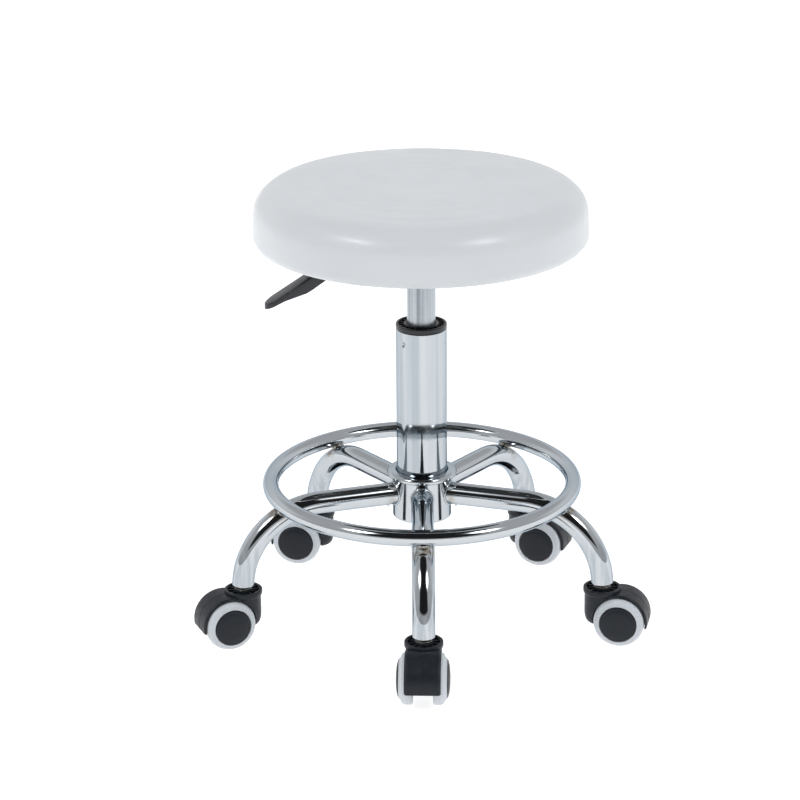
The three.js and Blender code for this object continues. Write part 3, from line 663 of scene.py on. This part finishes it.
def staples(radius, level):
    wires = []
    for k in range(underside["staples"]):
        turn = 2 * pi * (k + 0.3 * sin(k * 2.7)) / underside["staples"]
        spot = radius - underside["stapleInset"] - 0.001 * sin(k * 1.9)
        half = underside["stapleLength"] / 2
        tilt = 0.16 * sin(k * 3.3)
        depth = level - underside["stapleWire"]
        line = [(spot - half * sin(tilt), -half, depth + 0.001), (spot - half * sin(tilt), -half, depth)]
        line += [(spot + half * sin(tilt), half, depth), (spot + half * sin(tilt), half, depth + 0.001)]
        wires.append(turnedBy(roundBar(f"staple{k}", line, underside["stapleWire"], "zinc"), turn))
    settled(merged("dustSheetStaples", wires), "seat", "zinc_steel")


def roundedSquare(half, corner, steps=10):
    inner = half - corner
    points = []
    for quarter, (x, y) in enumerate([(1, 1), (-1, 1), (-1, -1), (1, -1)]):
        points += arc(x * inner, y * inner, corner, 90 * quarter, 90 * quarter + 90, steps)
    return points


def seatPlate():
    low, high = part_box("seat_plate")
    outline = roundedSquare(high.x, underside["plateCorner"])
    plate = slab("pressedPlate", outline, low.z, high.z, "powder", underside["plateEdge"])
    settled(plate, "seat", "black_paint", "seat_plate")


def plateBolts():
    for number in range(1, 5):
        low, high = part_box(f"plate_bolt_{number}")
        centre = (low + high) / 2
        across = (high.x - low.x) / 2
        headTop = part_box("seat_plate")[0].z - 0.0003
        washer = headTop - underside["washerThick"]
        hexagon = [(across * cos(pi * k / 3), across * sin(pi * k / 3)) for k in range(6)]
        head = slab(f"boltHead{number}", hexagon, low.z, washer, "zinc", 0.0005)
        disc = turned(f"boltWasher{number}", eased([(0, washer), (underside["washer"], washer),
                      (underside["washer"], headTop), (0, headTop)], 0.0002), "zinc", 40)
        shank = turned(f"boltShank{number}", eased([(0, headTop), (0.003, headTop), (0.003, high.z),
                       (0, high.z)], 0.0004), "zinc", 24)
        bolt = shifted(merged(f"plateBolt{number}", [head, disc, shank]), centre.x, centre.y, 0)
        settled(bolt, "seat", "zinc_steel", f"plate_bolt_{number}")


def taperSocket():
    low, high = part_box("taper_socket")
    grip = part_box("gas_cylinder")[1].z + 0.0003
    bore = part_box("gas_cylinder")[1].x + 0.0003
    chamber = bore + 0.0022
    outline = eased([(bore, low.z), (high.x, low.z), (high.x, high.z), (chamber, high.z),
                     (chamber, grip), (bore, grip)], 0.0008)
    socket = turned("taperSocket", outline, "powder", 96)
    level = leverPivot[2]
    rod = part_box("lever_rod")[1].z - level + 0.0004
    window = slab("leverWindow", roundedSquare(rod + 0.0004, 0.0012, 4), 0, high.x + 0.004, "powder", 0)
    turnedBy(window, pi / 2, "Y")
    shifted(window, 0, 0, level)
    turnedBy(window, leverHeading)
    cutOrJoined(socket, [window], "DIFFERENCE")
    settled(socket, "seat", "black_paint", "taper_socket")
    reach = high.x + 0.0003
    turns = [2 * pi * k / 60 for k in range(60)]
    seam = [(reach * cos(turn), reach * sin(turn), high.z - 0.0009) for turn in turns]
    bead = roundBar("socketWeld", seam, 0.0011, "powder", True, uneven(0.18, 2.1))
    settled(bead, "seat", "black_paint")


staples(*dustSheet())
seatPlate()
plateBolts()
taperSocket()
print("underside made")


# Gas lift: satin cylinder, chromed column with its crimp, black guide collar.

lift = {
    "cylinderEase": 0.001,
    "columnWall": 0.0016,
    "columnEase": 0.0007,
    "crimpDepth": 0.0015,
    "crimpRadius": 0.0028,
    "crimpDrop": 0.012,        # below the top of the column
    "crimpHeading": -45,
    "rimWidth": 0.0025,
    "recess": 0.0026,
    "lipWidth": 0.0029,
    "bush": 0.012,
    "ribs": 20,
}


def gasCylinder():
    low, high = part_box("gas_cylinder")
    outline = eased([(0, low.z), (high.x, low.z), (high.x, high.z), (0, high.z)], lift["cylinderEase"])
    tube = turned("gasCylinder", outline, "satin", 96)
    settled(tube, "seat", "satin_steel", "gas_cylinder")


def columnTube():
    low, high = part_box("column_tube")
    radius = high.x
    bore = radius - lift["columnWall"]
    crimp = high.z - lift["crimpDrop"]
    rows = [(radius, crimp - 0.004 + 0.0005 * k) for k in range(17)]
    corners = [(bore, low.z), (radius, low.z)] + rows + [(radius, high.z), (bore, high.z)]
    outline = eased(corners, lift["columnEase"])
    spots = []
    for third in range(3):
        turn = radians(lift["crimpHeading"] - 90 + 120 * third)
        spots.append(Vector((radius * cos(turn), radius * sin(turn), crimp)))

    def pressIn(spot):
        near = min((spot - dent).length for dent in spots)
        out = Vector((spot.x, spot.y, 0)).normalized()
        return out * -lift["crimpDepth"] * exp(-((near / lift["crimpRadius"]) ** 2) * 1.6)

    tube = turned("columnTube", outline, "columnChrome", 240, 40, pressIn)
    settled(tube, "root", "chrome", "column_tube")


def columnCollar():
    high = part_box("column_collar")[1]
    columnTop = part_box("column_tube")[1].z
    outer = high.x
    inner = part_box("gas_cylinder")[1].x + 0.0003
    rim = outer - lift["rimWidth"]
    lip = inner + lift["lipWidth"]
    floor = high.z - lift["recess"]
    bush = outer - lift["columnWall"] - 0.0003
    outline = eased([(inner, columnTop - lift["bush"]), (bush, columnTop - lift["bush"]),
                     (bush, columnTop + 0.0003), (outer, columnTop + 0.0003), (outer, high.z),
                     (rim, high.z), (rim, floor), (lip, floor), (lip, high.z), (inner, high.z)], 0.0007)
    parts = [turned("collarRing", outline, "plastic", 128)]
    for k in range(lift["ribs"]):
        plan = ribOutline(lip - 0.0004, rim + 0.0004, 0.0004)
        rib = slab(f"collarRib{k}", plan, floor - 0.0003, high.z - 0.0007, "plastic", 0)
        parts.append(turnedBy(rib, 2 * pi * k / lift["ribs"]))
    settled(merged("columnCollar", parts), "root", "black_plastic", "column_collar")


gasCylinder()
columnTube()
columnCollar()
print("gas lift made")


# Lever: a bent zinc rod with a moulded paddle, made along +X and turned to its heading.

lever = {
    "rod": 0.004,
    "inner": -0.008,
    "bendStart": 0.068,
    "bendRadius": 0.025,
    "droop": 31.7,
    "rodInHandle": 0.034,
    "start": 0.084,
    "end": 0.1535,
    "halfWidth": 0.010,
    "rise": 0.0071,
    "crown": 0.0004,
    "edge": 0.0016,
    "depths": ((0.084, 0.0130), (0.109, 0.0143), (0.1134, 0.0140), (0.118, 0.0126),
               (0.1325, 0.0082), (0.1358, 0.0074), (0.141, 0.0066), (0.1535, 0.005)),
}


def between(table, at):
    for (x0, d0), (x1, d1) in zip(table, table[1:]):
        if at <= x1:
            return d0 + (d1 - d0) * max(0.0, at - x0) / (x1 - x0)
    return table[-1][1]


def leverLine():
    level = leverPivot[2]
    droop = radians(lever["droop"])
    bend, start = lever["bendRadius"], lever["bendStart"]
    points = [(lever["inner"], 0, level)]
    for k in range(13):
        turn = droop * k / 12
        points.append((start + bend * sin(turn), 0, level - bend * (1 - cos(turn))))
    x, _, z = points[-1]
    reach = lever["rodInHandle"]
    points.append((x + reach * cos(droop), 0, z - reach * sin(droop)))
    return points, (x, z)


def paddle(bendEnd):
    slope = tan(radians(lever["droop"]))
    half = lever["halfWidth"]
    roundStart = lever["end"] - half
    mesh = bmesh.new()
    stations = [lever["start"] + (roundStart - lever["start"]) * k / 22 for k in range(23)]
    stations += [roundStart + half * sin(pi / 2 * k / 12) * 0.9985 for k in range(1, 13)]
    rows = []
    for x in stations:
        top = bendEnd[1] - (x - bendEnd[0]) * slope + lever["rise"]
        depth = between(lever["depths"], x)
        past = max(0.0, x - roundStart)
        wide = sqrt(max(half ** 2 - past ** 2, 1e-8))
        ease = min(lever["edge"], wide * 0.5, depth * 0.35)
        row = []
        for side, lower, spin in ((1, False, 0), (-1, False, 90), (-1, True, 180), (1, True, 270)):
            for k in range(6):
                turn = radians(spin + 90 * k / 5)
                y = side * (wide - ease) + ease * cos(turn)
                z = (top - depth + ease if lower else top - ease) + ease * sin(turn)
                if not lower:
                    z += lever["crown"] * (1 - (y / half) ** 2)
                row.append(mesh.verts.new((x, y, z)))
        rows.append(row)
    for low, high in zip(rows, rows[1:]):
        bridged(mesh, low, high)
    mesh.faces.new(rows[0])
    mesh.faces.new(rows[-1])
    return newPiece("leverHandle", mesh, "plastic", 42)


def leverPieces():
    points, bendEnd = leverLine()
    rod = turnedBy(roundBar("leverRod", points, lever["rod"], "zinc"), leverHeading)
    settled(rod, "lever", "zinc_steel", "lever_rod")
    handle = turnedBy(paddle(bendEnd), leverHeading)
    settled(handle, "lever", "black_plastic", "lever_handle")


leverPieces()
print("lever made")


# Base: hub with a rolled flange, five bent legs, foot ring and their welds.

base = {
    "legRadius": 0.011,
    "hubEase": 0.0028,
    "flange": 0.0065,
    "flangeWidth": 0.0053,
    "bead": 0.0009,
    "ringBead": 0.0016,
    "ringBeadAlong": 0.0036,      # half sizes of the weld between leg and ring
    "ringBeadAcross": 0.0052,
    "stemHole": 0.0058,
    "holeDepth": 0.022,
    "insertRadius": 0.0084,
    "insertBead": 0.0014,
    "endLift": 0.003,
    "tab": 0.0042,
}

legLow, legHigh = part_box("leg_1")
hubLow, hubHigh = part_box("hub")
hubRadius = hubHigh.x - base["flangeWidth"]
legLevel = legHigh.z - base["legRadius"]
legBend = legLevel - legLow.z
stemCircle = hypot(*joints["caster_swivel_1"]["pos_m"][:2])
bendStart = stemCircle - legBend
legHeadings = []
for number in range(1, 6):
    spot = joints[f"caster_swivel_{number}"]["pos_m"]
    legHeadings.append(atan2(spot[1], spot[0]))


def hubPiece():
    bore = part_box("column_tube")[1].x + 0.0002
    foot = bore + 0.0012
    under = hubHigh.z - base["flange"]
    curl = base["flange"] / 2
    rolled = arc(hubHigh.x - curl, under + curl, curl, -90, 75, 12)
    ease = base["hubEase"]
    outline = [(foot, hubLow.z + 0.0006), (foot + 0.0006, hubLow.z)]
    outline += arc(hubRadius - ease, hubLow.z + ease, ease, -90, 0, 8)
    outline += [(hubRadius, under - 0.0012), (hubRadius + 0.0004, under - 0.0003)]
    outline += [(hubRadius + 0.0013, under)]
    outline += rolled + [(bore + 0.0012, hubHigh.z), (bore, hubHigh.z - 0.0012)]
    settled(turned("hubCasting", outline, "chrome", 160), "root", "chrome", "hub")


def legPath():
    start = hubRadius - 0.002
    points = [(start, 0, legLevel), (hubRadius + 0.012, 0, legLevel)]
    lastTurn = acos(base["endLift"] / legBend)
    for k in range(41):
        turn = lastTurn * k / 40
        points.append((bendStart + legBend * sin(turn), 0, legLevel - legBend * (1 - cos(turn))))
    return points


def legTube(number, heading):
    leg = roundBar(f"legTube{number}", legPath(), base["legRadius"], "legChrome")
    bore, foot, end = base["stemHole"], legLow.z - 0.001, legLow.z + base["holeDepth"]
    hole = turned("stemHole", [(0, foot), (bore, foot), (bore, end), (0, end)], "legChrome", 40)
    shifted(hole, stemCircle, 0, 0)
    cutOrJoined(leg, [hole], "DIFFERENCE")
    settled(turnedBy(leg, heading), "root", "chrome", f"leg_{number}")
    reach, level = base["insertRadius"], legLow.z + base["endLift"]
    turns = [pi * k / 12 for k in range(24)]
    rim = [(stemCircle + reach * cos(turn), reach * sin(turn), level) for turn in turns]
    swell = uneven(0.22, 2.3, number)
    insert = roundBar(f"legInsert{number}", rim, base["insertBead"], "weld", True, swell)
    shifted(insert, 0, 0, -0.0003)
    settled(turnedBy(insert, heading), "root", "zinc_steel")


# The bead follows the line where the round leg meets the round hub.
def hubWeld(number, heading):
    reach = base["legRadius"] + 0.0004
    line = []
    for k in range(64):
        turn = 2 * pi * k / 64
        y, z = reach * cos(turn), legLevel + reach * sin(turn)
        line.append((sqrt(hubRadius ** 2 - y ** 2) + 0.0002, y, z))
    swell = uneven(0.13, 1.9, number)
    bead = roundBar(f"hubWeld{number}", line, base["bead"], "chrome", True, swell)
    size = base["tab"]
    under = legLevel - base["legRadius"] + 0.0008
    tab = slab(f"weldTab{number}", [(hubRadius + 0.0045, under), (hubRadius + 0.0045 + size, under),
               (hubRadius + 0.006, under - size)], -0.0011, 0.0011, "weld", 0.0003, "y")
    settled(turnedBy(merged(f"hubWeldBead{number}", [bead, tab]), heading), "root", "chrome")


def footRing():
    tube = (ringHigh.z - ringLow.z) / 2
    middle = ringHigh.x - tube
    level = (ringHigh.z + ringLow.z) / 2
    outline = arc(middle, level, tube, 0, 345, 23)
    settled(turned("footRing", outline, "chrome", 220, 80), "root", "chrome", "foot_ring")
    centre = Vector((bendStart, 0, legLow.z))
    toRing = Vector((middle, 0, level)) - centre
    out = toRing.normalized()
    touch = centre + out * (legBend + base["legRadius"])
    along = Vector((toRing.z, 0, -toRing.x)).normalized()
    for number, heading in enumerate(legHeadings, 1):
        line = []
        for k in range(36):
            turn = 2 * pi * k / 36
            a = base["ringBeadAlong"] * cos(turn)
            b = base["ringBeadAcross"] * sin(turn)
            rise = a * a / (2 * tube) - b * b / (2 * base["legRadius"])
            spot = touch + along * a + out * (rise * 0.5) + Vector((0, b, 0))
            line.append(tuple(spot))
        swell = uneven(0.16, 2.2, number)
        bead = roundBar(f"ringWeld{number}", line, base["ringBead"], "weld", True, swell)
        settled(turnedBy(bead, heading), "root", "chrome")


hubPiece()
for number, heading in enumerate(legHeadings, 1):
    legTube(number, heading)
    hubWeld(number, heading)
footRing()
print("base made")


# Casters: one is made with its stem on Z and its wheels trailing along +X, then set five times.

caster = {
    "collar": 0.0186,
    "collarHeight": 0.0055,
    "recess": 0.003,
    "collarWall": 0.003,
    "boss": 0.009,
    "half": 0.0173,
    "nose": 0.019,
    "noseCurve": 0.0108,
    "noseDraw": 0.42,           # how far the nose draws in, as a share of its curve
    "wall": 0.0019,
    "clearance": 0.001,
    "fenderEdge": 0.0028,
    "tailAngle": -11,           # the fender's two ends, in degrees round the axle
    "frontAngle": 172,
    "webFrontAngle": 176,
    "roomEnd": 0.03,            # the wheels' rooms are cut out to here
    "webHalf": 0.005,
    "axleBoss": 0.008,
    "axleBossHalf": 0.0092,
    "stem": 0.0055,
    "boreFoot": 0.024,
    "stemFlange": 0.008,
    "ribs": 12,
    "innerFace": 0.0099,
    "rimEdge": 0.0188,
    "capEdge": 0.0231,
    "capApex": 0.0258,
    "capRadius": 0.0184,
    "groove": 0.0003,
}

stemSpot = Vector(joints["caster_swivel_1"]["pos_m"])
axleSpot = Vector(joints["left_spin_1"]["pos_m"])
wheelRadius = axleSpot.z
trail = (axleSpot - stemSpot).xy.length
hoodTop = stemSpot.z
fenderInner = wheelRadius + caster["clearance"]
fenderOuter = fenderInner + caster["wall"]


def alongAxle(piece):
    turnedBy(piece, -pi / 2, "X")
    return shifted(piece, trail, 0, wheelRadius)


def hoodShell():
    half, curve = caster["half"], caster["noseCurve"]
    collarFoot = hoodTop - caster["collarHeight"]
    floor = hoodTop - caster["recess"]
    inner = caster["collar"] - caster["collarWall"]
    draw = curve * caster["noseDraw"]
    narrow = half - draw
    outline = [(0, caster["nose"]), (narrow, caster["nose"])]
    for k in range(1, 9):
        turn = pi / 2 * k / 8
        outline.append((narrow + draw * sin(turn), caster["nose"] + curve * (1 - cos(turn))))
    outline += [(half, collarFoot - 0.0004), (caster["collar"], collarFoot + 0.0006),
                (caster["collar"], hoodTop), (inner, hoodTop), (inner, floor),
                (caster["boss"], floor), (caster["boss"], hoodTop), (0, hoodTop)]
    outline = eased(outline, 0.0008)
    shell = turned("casterHood", outline, "nylon", 96)
    bossHalf, end = caster["axleBossHalf"], caster["roomEnd"]
    room = [(0, bossHalf), (fenderInner, bossHalf), (fenderInner, end), (0, end)]
    left = alongAxle(turned("leftRoom", room, "nylon", 128))
    right = alongAxle(turned("rightRoom", [(r, -z) for r, z in room], "nylon", 128))
    cutOrJoined(shell, [left, right], "DIFFERENCE")
    tailAngle, edge = caster["tailAngle"], caster["fenderEdge"]
    section = [(fenderInner, -half), (fenderOuter - edge * 0.5, -half)]
    section += [(r, y) for y, r in arc(-half + edge, fenderOuter - edge, edge, 165, 90, 6)]
    section += [(r, y) for y, r in arc(half - edge, fenderOuter - edge, edge, 90, 15, 6)]
    section += [(fenderOuter - edge * 0.5, half), (fenderInner, half)]
    fender = arched("fender", section, (trail, wheelRadius), tailAngle, caster["frontAngle"], 72, "nylon")
    mid = fenderInner + caster["wall"] / 2
    bossRadius = caster["axleBoss"]
    low = wheelRadius - bossRadius
    turns = [radians(angle) for angle in range(tailAngle, caster["webFrontAngle"], 6)]
    plate = [(trail + mid * cos(turn), wheelRadius + mid * sin(turn)) for turn in turns]
    plate += [(trail - bossRadius, low), (trail + bossRadius, low)]
    web = slab("web", plate, -caster["webHalf"], caster["webHalf"], "nylon", 0, "y")
    drum = [(0, -bossHalf), (bossRadius, -bossHalf), (bossRadius, bossHalf), (0, bossHalf)]
    boss = alongAxle(turned("axleBoss", drum, "nylon", 48))
    cutOrJoined(shell, [fender, web, boss], "UNION")
    bore, foot, above = caster["stem"] + 0.0003, caster["boreFoot"], hoodTop + 0.002
    hole = turned("stemBore", [(0, foot), (bore, foot), (bore, above), (0, above)], "nylon", 40)
    return cutOrJoined(shell, [hole], "DIFFERENCE", 38)


def hoodTrim():
    floor = hoodTop - caster["recess"]
    inner = caster["collar"] - caster["collarWall"]
    parts = []
    for k in range(caster["ribs"]):
        plan = ribOutline(caster["boss"] - 0.0005, inner + 0.0005, 0.0005)
        rib = slab(f"hoodRib{k}", plan, floor - 0.0003, hoodTop - 0.0009, "nylon", 0)
        parts.append(turnedBy(rib, 2 * pi * (k + 0.5) / caster["ribs"]))
    # A faint parting line over the middle of the hood.
    line = [(fenderOuter - 0.0004, -0.00035), (fenderOuter + 0.00018, -0.0002),
            (fenderOuter + 0.00018, 0.0002), (fenderOuter - 0.0004, 0.00035)]
    parts.append(arched("partingLine", line, (trail, wheelRadius), -10, 118, 48, "nylon"))
    return merged("hoodTrim", parts)


def stemPiece():
    low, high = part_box("caster_stem_1")
    flange = hoodTop + 0.0003
    r = caster["stem"]
    outline = eased([(0, low.z), (r, low.z), (r, flange), (caster["stemFlange"], flange),
                     (caster["stemFlange"], flange + 0.001), (r, flange + 0.001), (r, high.z - 0.002),
                     (r - 0.002, high.z), (0, high.z)], 0.0003)
    return turned("casterStem", outline, "zinc", 48)


def wheelCap():
    face, edge, apex = caster["innerFace"], caster["capEdge"], caster["capApex"]
    r = caster["capRadius"] - 0.0003
    outline = [(0, face), (r - 0.0006, face), (r, face + 0.0006), (r, edge - 0.0004)]
    dome = [(r * cos(pi / 2 * k / 16), edge - 0.0002 + (apex - edge + 0.0002) * sin(pi / 2 * k / 16) ** 0.9)
            for k in range(1, 16)]
    ringAt = r * 0.86
    dome = [(x, z - (caster["groove"] if abs(x - ringAt) < 0.0006 else 0)) for x, z in dome]
    return turned("wheelCap", outline + dome + [(0, apex)], "nylon", 96, 50)


def wheelTyre():
    face, edge, r = caster["innerFace"], caster["capEdge"], caster["capRadius"]
    rim = caster["rimEdge"]
    outline = [(r, face), (wheelRadius - 0.0012, face), (wheelRadius, face + 0.0012)]
    outline.append((wheelRadius, rim - 0.0034))
    for k in range(1, 9):
        turn = pi / 2 * k / 8
        outline.append((wheelRadius - 0.0042 * (1 - cos(turn)), rim - 0.0034 + 0.0056 * sin(turn)))
    outline += [(r + 0.0006, edge - 0.0001), (r, edge - 0.0006)]
    return turned("wheelTyre", outline, "tread", 128, 50)


def copyOf(source, name, place):
    piece = linked(name, source.data)
    piece.matrix_world = place
    return piece


def setCasters():
    hood, trim, stem, cap, tyre = hoodShell(), hoodTrim(), stemPiece(), wheelCap(), wheelTyre()
    for number in range(1, 6):
        spot = Vector(joints[f"caster_swivel_{number}"]["pos_m"])
        middle = Vector(joints[f"left_spin_{number}"]["pos_m"])
        heading = atan2(middle.y - spot.y, middle.x - spot.x)
        stand = Matrix.Translation((spot.x, spot.y, 0)) @ Matrix.Rotation(heading, 4, "Z")
        body = f"caster_{number}"
        settled(copyOf(hood, f"casterHood{number}", stand), body, "black_nylon", f"caster_hood_{number}")
        settled(copyOf(trim, f"hoodTrim{number}", stand), body, "black_nylon")
        settled(copyOf(stem, f"casterStem{number}", stand), body, "zinc_steel", f"caster_stem_{number}")
        for side, way in (("left", -pi / 2), ("right", pi / 2)):
            hubSpot = stand @ Matrix.Translation((trail, 0, wheelRadius)) @ Matrix.Rotation(way, 4, "X")
            wheel = f"{side}_wheel_{number}"
            name = side.capitalize() + str(number)
            settled(copyOf(cap, f"wheelCap{name}", hubSpot), wheel, "black_nylon", f"wheel_{side}_{number}")
            settled(copyOf(tyre, f"wheelTyre{name}", hubSpot), wheel, "pale_tread", f"tread_{side}_{number}")
    for source in (hood, trim, stem, cap, tyre):
        bpy.data.objects.remove(source)


setCasters()
print("casters made")


# The CAD nodes that still show, or sit inside, get a finish of their own.

keptNodes = {
    "seat_board": "plywood",
    "release_button": "zinc",
    "piston_rod": "zinc",
    "thrust_bearing": "zinc",
    **{f"caster_axle_{number}": "zinc" for number in range(1, 6)},
}
for name, finish in keptNodes.items():
    data = frame["nodes"][name].data
    data.materials.clear()
    data.materials.append(finishes[finish])


# Studio: white floor, white surround with a dark ceiling and front, soft boxes and a camera.

studio = {
    "floorSize": 60.0,
    "floorGlow": 0.86,
    "low": 0.56,
    "back": 0.9,
    "dark": 0.02,
    "frontLow": 0.16,
    "frontWide": 1.15,
    "frontNarrow": 0.7,
    "glow": 27.0,
    "glowSpread": 0.07,
    "boxSpots": ((-1.5, -1.05, 1.85), (1.5, -1.12, 1.85)),   # from the middle of the stool
    "boxPower": 4,
    "middle": 0.4,
    "cameraSpot": (0.0, -2.8675, 1.2615),
    "pitch": 19.771,
    "yaw": -0.425,
    "roll": -0.38,
    "swing": -0.35,
    "focal": 3096.1,
    "frameSize": 800,
}


def floorPiece():
    half = studio["floorSize"] / 2
    mesh = bmesh.new()
    corners = ((-half, -half), (half, -half), (half, half), (-half, half))
    mesh.faces.new([mesh.verts.new((x, y, 0)) for x, y in corners])
    finish = Finish("paperFloor", Roughness=0.9, Specular_IOR_Level=0.1)
    paper = finish.grain(finish.place, 3.0, 4.0)
    finish.feed("Base Color", finish.tint(paper, (0.42, 0.42, 0.425), (0.46, 0.46, 0.465)))
    finish.feed("Emission Color", finish.tint(paper, (0.99, 0.99, 1.0), (1.0, 1.0, 1.0)))
    finish.shader.inputs["Emission Strength"].default_value = studio["floorGlow"]
    finishes["floor"] = finish.material
    floor = newPiece("studioFloor", mesh, "floor")


def surround():
    world = bpy.data.worlds.new("studioSurround")
    scene.world = world
    world.use_nodes = True
    nodes = Nodes(world.node_tree)
    backdrop = nodes.tree.nodes["Background"]
    way = nodes.add("TexCoord", None, None, 0)
    x, y, height = nodes.apart(way)
    # The unlit front of the room: ahead of the stool, from just above the floor to nearly overhead.
    aside = nodes.maths("ABSOLUTE", x) - nodes.maths("POWER", height, 4.0) * 0.6
    ahead = nodes.spread(aside / (0.02 - y), studio["frontWide"], studio["frontNarrow"])
    ahead = ahead * nodes.spread(y, 0.0, -0.06)
    raised = nodes.spread(height, studio["frontLow"], studio["frontLow"] + 0.08)
    unlit = ahead * raised
    behind = nodes.spread(y, -0.2, 0.6) * nodes.spread(height, 0.62, 0.4)
    bright = studio["low"] + behind * (studio["back"] - studio["low"])
    level = bright * (1 - unlit) + unlit * studio["dark"]
    for spot in studio["boxSpots"]:
        toward = Vector(spot).normalized()
        facing = nodes.add("VectorMath", {"operation": "DOT_PRODUCT"}, {0: way, 1: toward}, 1)
        glow = nodes.maths("EXPONENT", (facing - 1) / studio["glowSpread"] ** 2)
        level = level + glow * studio["glow"]
    shade = nodes.add("CombineColor", None, {"Red": level, "Green": level, "Blue": level * 1.02})
    plug(nodes.tree, backdrop.inputs["Color"], shade)


# The surround carries the glow of each box, so the lamps themselves are kept out of reflections.
def softBox(name, fromMiddle, size, power):
    lamp = bpy.data.lights.new(name, "AREA")
    lamp.size = size
    lamp.energy = power
    holder = linked(name, lamp)
    holder.location = Vector(fromMiddle) + Vector((0, 0, studio["middle"]))
    holder.rotation_euler = (-Vector(fromMiddle)).to_track_quat("-Z", "Y").to_euler()
    holder.visible_camera = False
    holder.visible_glossy = False


def standCamera():
    pitch, yaw, roll = (radians(studio[key]) for key in ("pitch", "yaw", "roll"))
    ahead = Vector((sin(yaw) * cos(pitch), cos(yaw) * cos(pitch), -sin(pitch)))
    right = ahead.cross(Vector((0, 0, 1))).normalized()
    up = right.cross(ahead)
    right, up = right * cos(roll) + up * sin(roll), up * cos(roll) - right * sin(roll)
    turn = Matrix((right, up, -ahead)).transposed().to_4x4()
    lens = bpy.data.cameras.new("studioCamera")
    lens.sensor_width = 36.0
    lens.lens = studio["focal"] / studio["frameSize"] * lens.sensor_width
    lens.clip_end = 100.0
    camera = linked("studioCamera", lens)
    swing = Matrix.Rotation(radians(studio["swing"]), 4, "Z")
    camera.matrix_world = swing @ Matrix.Translation(studio["cameraSpot"]) @ turn
    scene.camera = camera


floorPiece()
surround()
softBox("overhead", (0, -0.2, 2.8), 3.2, 10)
for name, spot in zip(("leftBox", "rightBox"), studio["boxSpots"]):
    softBox(name, spot, 0.5, studio["boxPower"])
standCamera()
scene.view_settings.view_transform = "Standard"
print("studio set")
